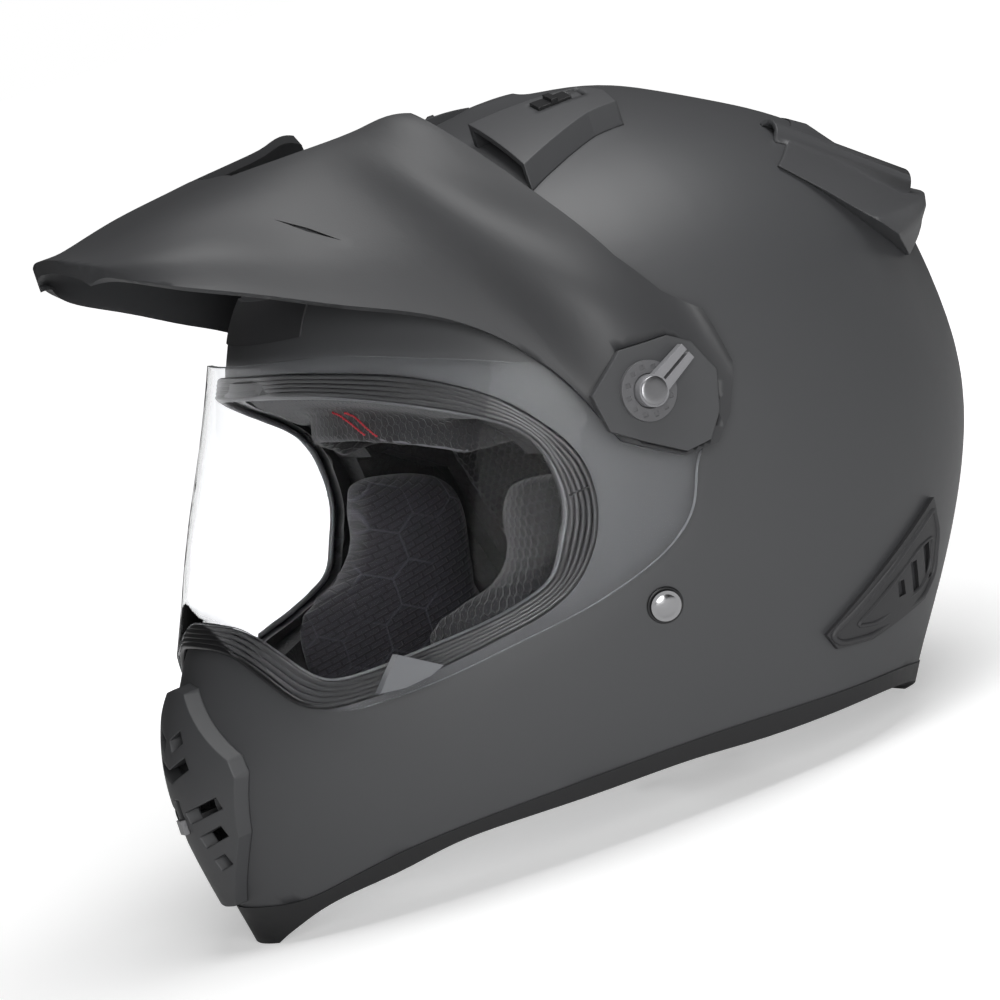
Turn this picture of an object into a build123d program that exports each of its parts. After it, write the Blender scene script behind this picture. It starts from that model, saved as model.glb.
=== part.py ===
from build123d import *
import os
from math import atan2, cos, degrees, hypot, pi, radians, sin

# A dual sport helmet standing on its base, facing -Y, with the rider's left at +X.
# The origin lies on the rest plane, under the middle of the head.

# Outer shell
shell_height = 278.5
half_width = 129.0
front_reach = 218.0
back_reach = 144.0
shell_wall = 4.0
seat_gap = 0.3
overrun = 60.0
profile_points = 28

# Base trim
trim_proud = 0.8
trim_depth = 5.0

# Eyeport seal
seal_proud = 3.2
seal_depth = 9.0

# Foam and padding
liner_wall = 34.0
cheek_wall = 18.0
comfort_wall = 8.0
cheek_split = 128.0
cheek_inner = 62.0
cheek_thickness = 52.0
neck_roll_height = 19.0
neck_roll_width = 23.0
neck_roll_turn = 152.0

# Clear shield
shield_wall = 2.2
shield_half_width = 133.0
shield_reach = 201.0
shield_pivot_forward = 36.0
shield_pivot_height = 176.0
hub_radius = 19.0
hub_reach = 131.0
ear_radius = 26.5
pivot_play = 0.05
tab_thickness = 4.0

# Peak
peak_wall = 3.0
peak_lip = 4.6
peak_half_width = 139.5
peak_reach = 212.5
peak_top = 290.0
peak_pivot_forward = 45.0
peak_pivot_height = 167.1
pivot_pin_radius = 3.5
cover_seat = 137.4
cover_thickness = 2.6
cover_gap = 0.4

# Quick release levers
dial_radius = 11.5
dial_thickness = 2.0
dial_mark = 1.8
dial_marks = 12
lever_hub_radius = 6.2
lever_thickness = 3.6
lever_length = 20.5
lever_width = 9.0
lever_slot = 1.2
lever_angle = 27.0
running_gap = 0.4
relief_turn = 12.0
relief_steps = 4

# Chin vent
mouth_proud = 6.0
mouth_half_width = 34.0
mouth_height = 87.0
mouth_base = 19.0
duct_width = 31.0
duct_height = 46.0
duct_base = 32.0
slot_width = 5.0
shutter_width = 25.0
shutter_height = 36.0
shutter_thickness = 2.0
shutter_forward = 205.0
shutter_base = 34.0
shutter_travel = 8.0
slider_width = 4.0
slider_height = 5.0
slider_reach = 16.8
slider_rise = 18.0
filter_thickness = 4.0

# Top vents
scoop_proud = 8.0
scoop_skin = 2.0
switch_length = 15.0
switch_width = 7.0
switch_depth = 2.4
switch_stand = 1.4
switch_travel = 6.0
switch_across = 57.0
switch_forward = 6.0
switch_height = 273.8
switch_tilt = 20.4

# Rear vents
spoiler_flick = 15.0
spoiler_edge = 3.0
spoiler_duct_radius = 9.0
spoiler_duct_wall = 2.0
side_vent_proud = 3.0
side_slot = 4.0

# Brow plate
plate_proud = 0.8
plate_half_width = 38.0
plate_base = 221.0
plate_height = 15.0

# Straps, rings and rivets
strap_width = 25.0
strap_thickness = 2.0
strap_forward = 54.6
strap_drift = 5.0
rivet_height = 85.3
rivet_radius = 6.0
rivet_crown = 1.6
rivet_shank = 2.6
washer_radius = 7.6
washer_thickness = 0.8
ring_outer = 36.0
ring_depth = 16.0
ring_wire = 3.2

# Height, half width, front, back and the two powers of each level of the shell
form_shares = [
    (0.000, 0.790, 0.960, 0.535, 1.75, 2.10),
    (0.108, 0.860, 0.986, 0.675, 1.75, 2.15),
    (0.215, 0.922, 1.000, 0.820, 1.75, 2.20),
    (0.323, 0.969, 0.972, 0.930, 1.75, 2.25),
    (0.431, 0.992, 0.885, 0.993, 1.80, 2.25),
    (0.539, 1.000, 0.789, 1.000, 1.85, 2.20),
    (0.646, 0.992, 0.716, 0.965, 1.95, 2.20),
    (0.736, 0.946, 0.651, 0.903, 2.05, 2.15),
    (0.826, 0.822, 0.596, 0.778, 2.10, 2.10),
    (0.898, 0.651, 0.486, 0.569, 2.10, 2.05),
    (0.948, 0.465, 0.358, 0.389, 2.05, 2.00),
    (0.980, 0.279, 0.229, 0.222, 2.00, 2.00),
    (1.000, 0.062, 0.064, 0.042, 2.00, 2.00),
]

# Height, half width, front and front power of each level of the shield's outer face
shield_level_shares = [
    (0.240, 0.930, 1.045, 1.93),
    (0.320, 0.975, 1.035, 1.95),
    (0.380, 0.995, 1.010, 1.97),
    (0.438, 1.000, 0.968, 2.00),
    (0.485, 1.000, 0.936, 2.01),
    (0.539, 1.000, 0.898, 2.03),
    (0.646, 1.000, 0.812, 2.06),
    (0.736, 0.990, 0.744, 2.08),
    (0.800, 0.955, 0.704, 2.08),
]

# Side outlines: forward share of the front reach and share of the shell height
arch_shares = [
    (0.950, 0.000), (0.931, 0.018), (0.899, 0.036), (0.771, 0.063), (0.683, 0.079),
    (0.583, 0.084), (0.431, 0.083), (0.248, 0.081), (0.151, 0.074), (0.032, 0.068),
    (-0.106, 0.063), (-0.193, 0.054), (-0.275, 0.032), (-0.326, 0.000),
]
trim_top_shares = [
    (1.030, 0.061), (0.972, 0.059), (0.917, 0.058), (0.849, 0.072), (0.761, 0.090),
    (0.596, 0.104), (0.422, 0.108), (0.239, 0.107), (0.046, 0.097), (-0.115, 0.086),
    (-0.216, 0.075), (-0.298, 0.056), (-0.367, 0.040), (-0.460, 0.036),
]
eyeport_outer_shares = [
    (0.642, 0.749), (0.615, 0.741), (0.516, 0.707), (0.427, 0.657), (0.367, 0.605),
    (0.321, 0.542), (0.317, 0.478), (0.339, 0.425), (0.385, 0.381), (0.447, 0.355),
    (0.528, 0.343), (0.619, 0.330), (0.729, 0.318), (0.800, 0.318), (0.839, 0.330),
    (0.865, 0.373), (0.885, 0.417), (0.927, 0.436),
]
eyeport_inner_shares = [
    (0.651, 0.725), (0.606, 0.711), (0.514, 0.671), (0.413, 0.619), (0.367, 0.575),
    (0.353, 0.517), (0.360, 0.470), (0.383, 0.434), (0.415, 0.391), (0.466, 0.373),
    (0.537, 0.361), (0.633, 0.352), (0.734, 0.343), (0.789, 0.345), (0.817, 0.366),
    (0.839, 0.406), (0.862, 0.442), (0.927, 0.458),
]
liner_base_shares = [
    (-0.900, 0.151), (-0.320, 0.165), (-0.092, 0.215), (0.092, 0.287), (0.156, 0.485),
    (0.275, 0.546), (1.300, 0.546),
]
cheek_outline_shares = [
    (0.358, 0.524), (0.275, 0.508), (0.184, 0.467), (0.190, 0.377), (0.202, 0.287),
    (0.193, 0.190), (0.275, 0.146), (0.450, 0.140), (0.575, 0.170), (0.635, 0.262),
    (0.647, 0.325), (0.615, 0.368), (0.541, 0.388), (0.486, 0.399), (0.436, 0.424),
    (0.400, 0.474),
]
shield_outline_shares = [
    (0.670, 0.770), (0.610, 0.766), (0.510, 0.735), (0.410, 0.702), (0.310, 0.676),
    (0.235, 0.690), (0.165, 0.690), (0.070, 0.600), (0.080, 0.520), (0.125, 0.490),
    (0.163, 0.430), (0.203, 0.397), (0.245, 0.378), (0.305, 0.361), (0.383, 0.345),
    (0.505, 0.330), (0.630, 0.314), (0.740, 0.306), (0.805, 0.312), (0.842, 0.340),
    (0.865, 0.385), (0.895, 0.416), (0.930, 0.424),
]
side_vent_shares = [
    (-0.028, 0.180), (-0.046, 0.154), (-0.124, 0.144), (-0.284, 0.158),
    (-0.326, 0.183), (-0.349, 0.244), (-0.339, 0.294),
]
side_slot_shares = [(-0.215, 0.183, 0.205), (-0.256, 0.178, 0.222), (-0.298, 0.185, 0.240)]

# Peak: rows from tip to pivot, each point an across, forward and height share
peak_shares = [
    [(0.000, 0.985, 0.956), (0.055, 0.985, 0.955), (0.100, 0.985, 0.951),
     (0.140, 0.985, 0.945), (0.175, 0.985, 0.937), (0.205, 0.985, 0.927)],
    [(0.000, 0.932, 0.962), (0.083, 0.934, 0.960), (0.157, 0.932, 0.954),
     (0.222, 0.927, 0.945), (0.276, 0.918, 0.933), (0.318, 0.905, 0.916)],
    [(0.000, 0.862, 0.965), (0.116, 0.868, 0.963), (0.224, 0.868, 0.956),
     (0.310, 0.864, 0.943), (0.383, 0.858, 0.923), (0.444, 0.846, 0.889)],
    [(0.000, 0.752, 0.979), (0.130, 0.757, 0.978), (0.260, 0.755, 0.968),
     (0.375, 0.751, 0.940), (0.469, 0.744, 0.902), (0.542, 0.725, 0.845)],
    [(0.000, 0.612, 0.990), (0.173, 0.607, 0.989), (0.325, 0.607, 0.960),
     (0.440, 0.607, 0.912), (0.542, 0.602, 0.857), (0.621, 0.593, 0.795)],
    [(0.000, 0.494, 0.997), (0.245, 0.480, 0.997), (0.404, 0.471, 0.953),
     (0.538, 0.461, 0.891), (0.656, 0.452, 0.818), (0.752, 0.442, 0.733)],
    [(0.000, 0.400, 1.000), (0.332, 0.391, 0.998), (0.513, 0.381, 0.945),
     (0.672, 0.367, 0.869), (0.812, 0.348, 0.771), (0.926, 0.322, 0.610)],
    [(0.000, 0.306, 0.997), (0.433, 0.296, 0.991), (0.621, 0.268, 0.893),
     (0.830, 0.249, 0.803), (0.977, 0.235, 0.690), (0.998, 0.235, 0.480)],
]
# The last row lies in one leaning plane, so only across and height are given
peak_end_shares = [(0.000, 0.979), (0.433, 0.931), (0.672, 0.848), (0.880, 0.752),
                   (0.991, 0.634), (1.000, 0.448)]
peak_end_lean = 0.141
# Plan outline of the peak's open centre: across share and forward share
notch_shares = [(0.173, 0.607), (0.238, 0.527), (0.332, 0.405), (0.433, 0.292), (0.540, 0.061)]
# Plan outline of the peak's nose: across share and forward share
nose_shares = [(0.000, 0.960), (0.060, 0.958), (0.120, 0.953), (0.175, 0.944), (0.225, 0.932),
               (0.270, 0.921), (0.400, 0.900), (1.400, 0.750)]
# Side outline kept of the peak, round its rear edge and pivot end
peak_edge_shares = [
    (0.300, 1.220), (0.300, 1.040), (0.244, 0.966), (0.216, 0.924), (0.197, 0.886),
    (0.155, 0.780), (0.105, 0.715), (0.045, 0.670), (0.028, 0.612), (0.037, 0.572),
    (0.063, 0.530), (0.104, 0.499), (0.168, 0.498), (0.240, 0.531), (0.302, 0.562),
    (0.317, 0.620), (0.336, 0.648), (0.362, 0.662), (1.380, 0.662), (1.380, 1.220),
]
# Side outline of the slit in each flank of the peak
gill_shares = [(0.604, 0.963), (0.568, 0.934), (0.527, 0.909), (0.563, 0.938)]
cover_shares = [
    (0.308, 0.620), (0.234, 0.664), (0.138, 0.660), (0.098, 0.641), (0.067, 0.593),
    (0.086, 0.539), (0.118, 0.507), (0.168, 0.504), (0.236, 0.536), (0.296, 0.567),
]
scoop_shares = [
    (0.349, 0.170), (0.390, 0.010), (0.411, -0.050), (0.465, -0.072), (0.555, -0.064),
    (0.570, 0.002), (0.620, 0.099), (0.655, 0.175),
]
mouth_shares = [(0.000, 1.000), (0.260, 0.980), (0.960, 0.680), (1.000, 0.600), (0.780, 0.330), (0.240, 0.005), (0.000, 0.000)]
# Across, height, length and tilt in degrees of the slots on one side of the mouthpiece
mouth_slot_shares = [
    (0.200, 0.790, 0.260, 24.0), (0.180, 0.665, 0.460, 20.0),
    (0.440, 0.475, 0.600, 14.0), (0.450, 0.350, 0.420, 16.0), (0.420, 0.225, 0.220, 18.0),
]
# Side outline of the spoiler, and how far it stands off the shell at each height
spoiler_shares = [
    (-0.266, 0.804), (-0.330, 0.747), (-0.399, 0.682), (-0.477, 0.619), (-0.569, 0.646),
    (-0.601, 0.668), (-0.800, 0.682), (-0.800, 0.862), (-0.482, 0.842), (-0.372, 0.836),
]
spoiler_level_shares = [
    (0.570, 0.100), (0.618, 0.150), (0.650, 0.500), (0.668, 0.850), (0.682, 1.000),
    (0.700, 0.560), (0.722, 0.370), (0.755, 0.280), (0.790, 0.230), (0.826, 0.200),
    (0.860, 0.180), (0.880, 0.170),
]
# Across, forward and height of the two ends of the raised duct on one side
spoiler_duct_shares = [(0.590, -0.310, 0.836), (0.540, -0.560, 0.700)]
scoop_room_shares = [
    (0.372, 0.300), (0.372, 0.170), (0.412, 0.010), (0.432, -0.040), (0.470, -0.052),
    (0.540, -0.048), (0.552, 0.006), (0.598, 0.099), (0.634, 0.175), (0.634, 0.300),
]
strap_shares = [
    (0.870, 0.345), (0.859, 0.305), (0.836, 0.261), (0.822, 0.215), (0.788, 0.150),
    (0.763, 0.122), (0.722, 0.098), (0.610, 0.078), (0.310, 0.056), (0.194, 0.052),
]
strap_tail_shares = [(0.080, 0.052)]
lever_taper_share = 0.8
channel_share = 0.74
foot_share = 0.88
# Back, foot and top of the brow pad's zone, the skirt's foot and the crown pad's lift
brow_back_share = 0.30
brow_low_share = 0.56
brow_top_share = 0.735
skirt_low_share = 0.62
crown_lift_share = 0.06
# Side line of the brow pad's lower edge
brow_hem_shares = [(0.250, 0.560), (0.400, 0.565), (0.420, 0.577), (0.512, 0.618), (0.640, 0.650), (1.000, 0.700)]
# Side outline of the lift tab
tab_shares = [(0.704, 0.366), (0.644, 0.334), (0.667, 0.325), (0.707, 0.319), (0.745, 0.321), (0.726, 0.343)]


def level(share_row, inset):
    """One closed outline of the shell's form, drawn in by inset."""
    height, width, front, back, front_power, back_power = share_row
    half = width * (half_width - inset)
    ahead = front * (front_reach - inset)
    behind = back * (back_reach - inset)
    z = height * (shell_height - inset)
    points = []
    for i in range(profile_points):
        a = 2 * pi * i / profile_points
        power = front_power if sin(a) >= 0 else back_power
        reach = ahead if sin(a) >= 0 else behind
        across = half * abs(cos(a)) ** (2 / power) * (1 if cos(a) >= 0 else -1)
        forward = reach * abs(sin(a)) ** (2 / power) * (1 if sin(a) >= 0 else -1)
        points.append(Vector(across, -forward, z))
    return Wire([Edge.make_spline(points, periodic=True)])


def form(inset):
    """The helmet's outer form as a solid, drawn in by inset."""
    return Solid.make_loft([level(row, inset) for row in form_shares])


def row_at(share):
    """The shell's form at a height share between its listed levels."""
    for low, high in zip(form_shares, form_shares[1:]):
        if low[0] <= share <= high[0]:
            t = (share - low[0]) / (high[0] - low[0])
            return [a + (b - a) * t for a, b in zip(low, high)]
    return list(form_shares[-1])


def shell_width(forward, height):
    """Half width of the outer form at a place on its side."""
    row = row_at(height / shell_height)
    front = forward >= 0
    reach = row[2] * front_reach if front else row[3] * back_reach
    power = row[4] if front else row[5]
    return row[1] * half_width * (1 - (abs(forward) / reach) ** power) ** (1 / power)


def side(shares):
    """Side outline points, forward share and height share, on the plane x = 0."""
    return [Vector(0, -f * front_reach, z * shell_height) for f, z in shares]


def side_prism(face, low=None, high=None):
    """A side view face carried across the helmet, or from low to high only."""
    if low is None:
        low, high = -half_width - overrun, half_width + overrun
    moved = face.moved(Location((low, 0, 0)))
    return extrude(moved, amount=high - low, dir=(1, 0, 0))


def closed_face(edges, points):
    """A face bounded by a smooth run of edges and the straight way back through points."""
    outline = edges + [Edge.make_line(a, b) for a, b in zip(points, points[1:])]
    return Face(Wire(outline))


def below(shares):
    """Everything under a smooth side curve that runs from front to back."""
    curve = side(shares)
    floor = -overrun
    front, back = front_reach + overrun, back_reach + overrun
    start, end = curve[0], curve[-1]
    run = [end, Vector(0, back, end.Z), Vector(0, back, floor), Vector(0, -front, floor),
           Vector(0, -front, start.Z), start]
    return side_prism(closed_face([Edge.make_spline(curve)], run))


def below_lines(shares):
    """Everything under a side line of straight runs."""
    points = side(shares)
    floor = -overrun
    points += [Vector(0, points[-1].Y, floor), Vector(0, points[0].Y, floor)]
    return side_prism(Face(Wire.make_polygon(points, close=True)))


def eyeport(shares):
    """The eyeport's side outline, open towards the front, carried across."""
    curve = side(shares)
    nose = -front_reach - overrun
    run = [curve[-1], Vector(0, nose, curve[-1].Z), Vector(0, nose, curve[0].Z), curve[0]]
    return side_prism(closed_face([Edge.make_spline(curve)], run))


def eyeport_middle():
    """The line where the shell's edge sits inside the seal."""
    pairs = zip(eyeport_outer_shares, eyeport_inner_shares)
    return [((a + c) / 2, (b + d) / 2) for (a, b), (c, d) in pairs]


def across(shape):
    """The mirror image on the rider's right."""
    return mirror(shape, about=Plane.YZ)


def rod(radius, forward, height, low, high):
    """A cylinder along X between two places across the helmet."""
    place = Location((low, -forward, height), (0, 90, 0))
    return Solid.make_cylinder(radius, high - low).moved(place)


def block(low, high):
    """A box given by two opposite corners."""
    size = [high[i] - low[i] for i in range(3)]
    return Solid.make_box(*size).moved(Location(low))


def front_prism(points, near, far):
    """An outline in the front view, given by across and height, carried from near to far."""
    face = Face(Wire.make_polygon([Vector(x, -near, z) for x, z in points], close=True))
    return extrude(face, amount=far - near, dir=(0, -1, 0))


def duct(forward_low, forward_high, play=0):
    """The air way through the chin."""
    half = duct_width / 2 - play
    low = (-half, -forward_high, duct_base + play)
    high = (half, -forward_low, duct_base + duct_height - play)
    return block(low, high)


def rivet_place(side_sign):
    """Where a strap rivet sits on the shell, and which way it faces."""
    step = seat_gap
    x = shell_width(strap_forward, rivet_height)
    slope = (shell_width(strap_forward + step, rivet_height) - x) / step
    rise = (shell_width(strap_forward, rivet_height + step) - x) / step
    normal = Vector(side_sign, slope, -rise)
    return Plane((side_sign * x, -strap_forward, rivet_height), z_dir=normal)


def scoop_prism(play, low, high):
    """Plan outline of the rider's left top vent, carried from low to high."""
    middle_x = sum(x for x, f in scoop_shares) / len(scoop_shares) * half_width
    middle_f = sum(f for x, f in scoop_shares) / len(scoop_shares) * front_reach
    points = []
    for x, f in scoop_shares:
        dx, df = x * half_width - middle_x, f * front_reach - middle_f
        shrink = 1 - play / hypot(dx, df)
        points.append(Vector(middle_x + dx * shrink, -middle_f - df * shrink, low))
    face = Face(Wire.make_polygon(points, close=True))
    return extrude(face, amount=high - low, dir=(0, 0, 1))


def switch_frame():
    """The tilted seat of the top vent's switch."""
    place = (switch_across, -switch_forward, switch_height)
    return Location(place, (0, switch_tilt, 0))


def outer_shell(skin, core):
    shell = skin - core - below(trim_top_shares) - eyeport(eyeport_middle())
    shell -= duct(front_reach / 2, front_reach + overrun)
    for sign in (1, -1):
        plane = rivet_place(sign)
        hole = Solid.make_cylinder(rivet_shank + pivot_play, 4 * shell_wall, plane)
        shell -= hole.moved(Location(plane.z_dir * (-2 * shell_wall)))
    return shell


def base_trim(skin):
    band = (form(-trim_proud) & below(trim_top_shares)) - below(arch_shares)
    return band - form(trim_depth)


def eyeport_seal(skin):
    lip = (form(-seal_proud) & eyeport(eyeport_outer_shares)) - eyeport(eyeport_inner_shares)
    lip -= form(seal_depth)
    return lip - (skin - form(shell_wall) - eyeport(eyeport_middle()))


def impact_liner(outer, cavity):
    return outer - cavity - below_lines(liner_base_shares) - eyeport(eyeport_outer_shares)


def lower_foam(outer):
    """The foam layer below the main liner, from which the cheek and chin foam are cut."""
    lower = [(f, z - seat_gap / shell_height) for f, z in liner_base_shares]
    foam = (outer - form(shell_wall + cheek_wall)) & below_lines(lower)
    floor = [(f, z + seat_gap / shell_height) for f, z in trim_top_shares]
    return foam - below(floor) - eyeport(eyeport_outer_shares)


def cheek_foam(foam, sign):
    low = (0, -cheek_split + seat_gap / 2, 0)
    high = (sign * half_width, back_reach / 8, shell_height)
    corner_low = (min(low[0], high[0]), low[1], low[2])
    corner_high = (max(low[0], high[0]), high[1], high[2])
    part = foam & block(corner_low, corner_high)
    reach = half_width + overrun
    y_high = strap_width / 2 + strap_drift - strap_forward
    y_low = y_high - strap_width - strap_drift - 2 * seat_gap
    inner = shell_width(strap_forward, rivet_height) * channel_share
    x_low, x_high = sorted((sign * inner, sign * reach))
    channel = block((x_low, y_low, 0), (x_high, y_high, rivet_height + strap_width / 2))
    keep = form(shell_wall + seat_gap + 3 * strap_thickness)
    x_low, x_high = sorted((sign * foot_share * inner, sign * reach))
    foot = block((x_low, y_low, 0), (x_high, y_high, strap_shares[4][1] * shell_height + strap_thickness))
    return part - (channel - keep) - foot


def chin_foam(foam):
    part = foam & block((-half_width, -front_reach - overrun, 0), (half_width, -cheek_split - seat_gap / 2, shell_height))
    return part - duct(cheek_split, front_reach + overrun)


def comfort_layer():
    return form(shell_wall + liner_wall + 2 * seat_gap) - form(shell_wall + liner_wall + comfort_wall)


def brow_zone():
    """The box in front of which the liner counts as the brow pad."""
    return block((-half_width, -front_reach, brow_low_share * shell_height),
                 (half_width, -brow_back_share * front_reach, brow_top_share * shell_height))


def crown_pad(layer):
    lifted = [(f, z + crown_lift_share) for f, z in liner_base_shares]
    return layer - below_lines(lifted) - brow_zone()


def brow_pad(layer):
    margin = seat_gap / front_reach
    band = layer & brow_zone()
    skirt = form(seal_depth + seat_gap)
    edge = [(f + margin, z - margin) for f, z in eyeport_middle()]
    skirt = (skirt & eyeport(edge)) - eyeport([(f, z - margin) for f, z in eyeport_inner_shares])
    skirt -= form(shell_wall + liner_wall + 2 * seat_gap)
    skirt &= block((-half_width, -front_reach, skirt_low_share * shell_height), (half_width, 0, shell_height))
    return band + skirt - below_lines(brow_hem_shares)


def cheek_pad(sign):
    """A cushion with a crowned inner face, drawn in towards the cheek."""
    centre_f = sum(f for f, z in cheek_outline_shares) / len(cheek_outline_shares)
    centre_z = sum(z for f, z in cheek_outline_shares) / len(cheek_outline_shares)
    layer_shares = [(0.00, 0.80), (0.06, 0.92), (0.20, 0.99), (0.50, 1.00), (1.00, 0.97)]
    wires = []
    for depth, size in layer_shares:
        x = cheek_inner + depth * cheek_thickness
        points = [Vector(x, -(centre_f + (f - centre_f) * size) * front_reach,
                         (centre_z + (z - centre_z) * size) * shell_height)
                  for f, z in cheek_outline_shares]
        wires.append(Wire([Edge.make_spline(points, periodic=True)]))
    pad = Solid.make_loft(wires) & form(shell_wall + cheek_wall + seat_gap)
    pad -= form(0) - form(shell_wall + liner_wall + seat_gap) - below_lines(liner_base_shares)
    return sided(pad, sign)


def liner_base_at(forward):
    """Height of the main liner's lower edge at a place behind the head."""
    (f_low, z_low), (f_high, z_high) = liner_base_shares[:2]
    along = (forward / front_reach - f_low) / (f_high - f_low)
    return (z_low + (z_high - z_low) * along) * shell_height


def neck_roll():
    """The padded roll under the back and sides of the liner."""
    inset = trim_depth + neck_roll_width / 2 + seat_gap
    row = form_shares[1]
    half, behind = row[1] * half_width - inset, row[3] * back_reach - inset
    z = liner_base_at(-behind) - seat_gap - neck_roll_height / 2
    steps = profile_points // 2
    points = []
    open_turn = radians(180 - neck_roll_turn) / 2
    for i in range(steps + 1):
        a = pi + open_turn + radians(neck_roll_turn) * i / steps
        power = row[5]
        x = half * abs(cos(a)) ** (2 / power) * (1 if cos(a) >= 0 else -1)
        points.append(Vector(x, behind * abs(sin(a)) ** (2 / power), z))
    path = Edge.make_spline(points)
    start = Plane(points[0], x_dir=(1, 0, 0), z_dir=(points[1] - points[0]))
    section = start * Ellipse(neck_roll_width / 2, neck_roll_height / 2)
    return sweep(section, path=path)


def shield_form(inset):
    """The shield's outer form as a closed solid, drawn in by inset."""
    wires = []
    for height, width, front, power in shield_level_shares:
        half = width * shield_half_width - inset
        ahead = front * shield_reach - inset
        points = []
        for i in range(profile_points):
            a = 2 * pi * i / profile_points
            n = power if sin(a) >= 0 else 2
            x = half * abs(cos(a)) ** (2 / n) * (1 if cos(a) >= 0 else -1)
            y = ahead * abs(sin(a)) ** (2 / n) * (1 if sin(a) >= 0 else -1)
            points.append(Vector(x, -y, height * shell_height))
        wires.append(Wire([Edge.make_spline(points, periodic=True)]))
    return Solid.make_loft(wires)


def seal_room():
    """The chin's seal and shell with a little air round them, which the shield stays out of."""
    raised = [(f, z + 2 * seat_gap / shell_height) for f, z in eyeport_inner_shares]
    low = (-half_width, -front_reach - overrun, 0)
    high = (half_width, -front_reach / 2, shell_height / 2)
    return (form(-seal_proud - seat_gap) & block(low, high)) - eyeport(raised)


def shield():
    """The clear shield, with its ears round the two hubs and a lift tab on the left."""
    skin = shield_form(0)
    core = shield_form(shield_wall)
    sheet = skin - core
    curve = side(shield_outline_shares)
    nose = -front_reach - overrun
    run = [curve[-1], Vector(0, nose, curve[-1].Z), Vector(0, nose, curve[0].Z), curve[0]]
    outline = side_prism(closed_face([Edge.make_spline(curve)], run))
    sheet = (sheet & outline) - seal_room()
    reach = half_width + overrun
    for low, high in ((0, reach), (-reach, 0)):
        sheet -= rod(hub_radius + pivot_play, shield_pivot_forward, shield_pivot_height, low, high)
    return sheet


def shield_room(lift):
    """The shield's outer form and a running gap, turned up about its hubs by lift degrees."""
    curve = side(shield_outline_shares)
    nose = -front_reach - overrun
    run = [curve[-1], Vector(0, nose, curve[-1].Z), Vector(0, nose, curve[0].Z), curve[0]]
    room = shield_form(-running_gap) & side_prism(closed_face([Edge.make_spline(curve)], run))
    hub_place = Vector(0, -shield_pivot_forward, shield_pivot_height)
    turned = room.moved(Location(hub_place * -1)).moved(Location((0, 0, 0), (-lift, 0, 0)))
    return turned.moved(Location(hub_place))


def shield_tab():
    """The grey lift tab on the left of the shield's lower edge."""
    slab = side_prism(Face(Wire.make_polygon(side(tab_shares), close=True)), 0, half_width)
    return slab & (shield_form(-tab_thickness) - shield_form(-seat_gap / 3))


def hub(sign):
    """The boss on the shell's side that the shield turns on."""
    boss = rod(hub_radius, shield_pivot_forward, shield_pivot_height, 0.8 * half_width, hub_reach)
    return sided(boss - form(-seat_gap / 3), sign)


def peak_rows():
    """The points of the peak's outer face, from its tip to its pivots."""
    rows = []
    for row in peak_shares:
        rows.append([Vector(x * peak_half_width, -f * peak_reach, z * peak_top) for x, f, z in row])
    top, low = peak_end_shares[0][1], peak_end_shares[-1][1]
    end = []
    for x, z in peak_end_shares:
        f = peak_end_lean * (z - low) / (top - low)
        end.append(Vector(x * peak_half_width, -f * peak_reach, z * peak_top))
    halfway = [(a + b) * 0.5 for a, b in zip(rows[-1], end)]
    rows += [halfway, end]
    rows = [row[:-1] + [(row[-2] + row[-1]) * 0.5, row[-1]] for row in rows]
    return [[Vector(-p.X, p.Y, p.Z) for p in row[:0:-1]] + row for row in rows]


def peak_normal(rows, i, j):
    """The way out of the peak's face at one of its points."""
    row = rows[i]
    along = row[min(j + 1, len(row) - 1)] - row[max(j - 1, 0)]
    middle = len(row) // 2
    if i == 0:
        down = Vector(0, 1, 0)
    elif i == len(rows) - 1:
        down = (row[-1] - row[middle]).cross(Vector(1, 0, 0)) * -1
    else:
        down = rows[i + 1][j] - rows[i - 1][j]
    return along.cross(down).normalized()


def peak_sheet():
    """The peak as one thin sheet, before its edges are cut."""
    rows = peak_rows()
    wires = []
    for i, row in enumerate(rows):
        wall = peak_lip if i < 2 else peak_wall
        under = [p - peak_normal(rows, i, j) * wall for j, p in enumerate(row)]
        wires.append(Wire([Edge.make_spline(row), Edge.make_line(row[-1], under[-1]),
                           Edge.make_spline(under[::-1]), Edge.make_line(under[0], row[0])]))
    return Solid.make_loft(wires)


def peak_opening():
    """The open centre behind the front part of the peak."""
    floor = 0.86 * shell_height
    points = [Vector(x * peak_half_width, -f * peak_reach, floor) for x, f in notch_shares]
    back = Vector(points[-1].X, overrun, floor)
    outline = points + [back, Vector(-back.X, back.Y, floor)]
    outline += [Vector(-p.X, p.Y, floor) for p in points[::-1]]
    face = Face(Wire.make_polygon(outline, close=True))
    return extrude(face, amount=peak_top, dir=(0, 0, 1))


def peak_nose():
    """What is cut off in front of the peak, to leave a rounded tip."""
    right = [Vector(x * peak_half_width, -f * peak_reach, 0) for x, f in nose_shares]
    left = [Vector(-p.X, p.Y, 0) for p in right[:0:-1]]
    ahead = -peak_reach - overrun
    ends = [Vector(right[-1].X, ahead, 0), Vector(left[0].X, ahead, 0)]
    edges = [Edge.make_spline(left + right), Edge.make_line(right[-1], ends[0]),
             Edge.make_line(ends[0], ends[1]), Edge.make_line(ends[1], left[0])]
    return extrude(Face(Wire(edges)), amount=2 * peak_top, dir=(0, 0, 1))


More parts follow.
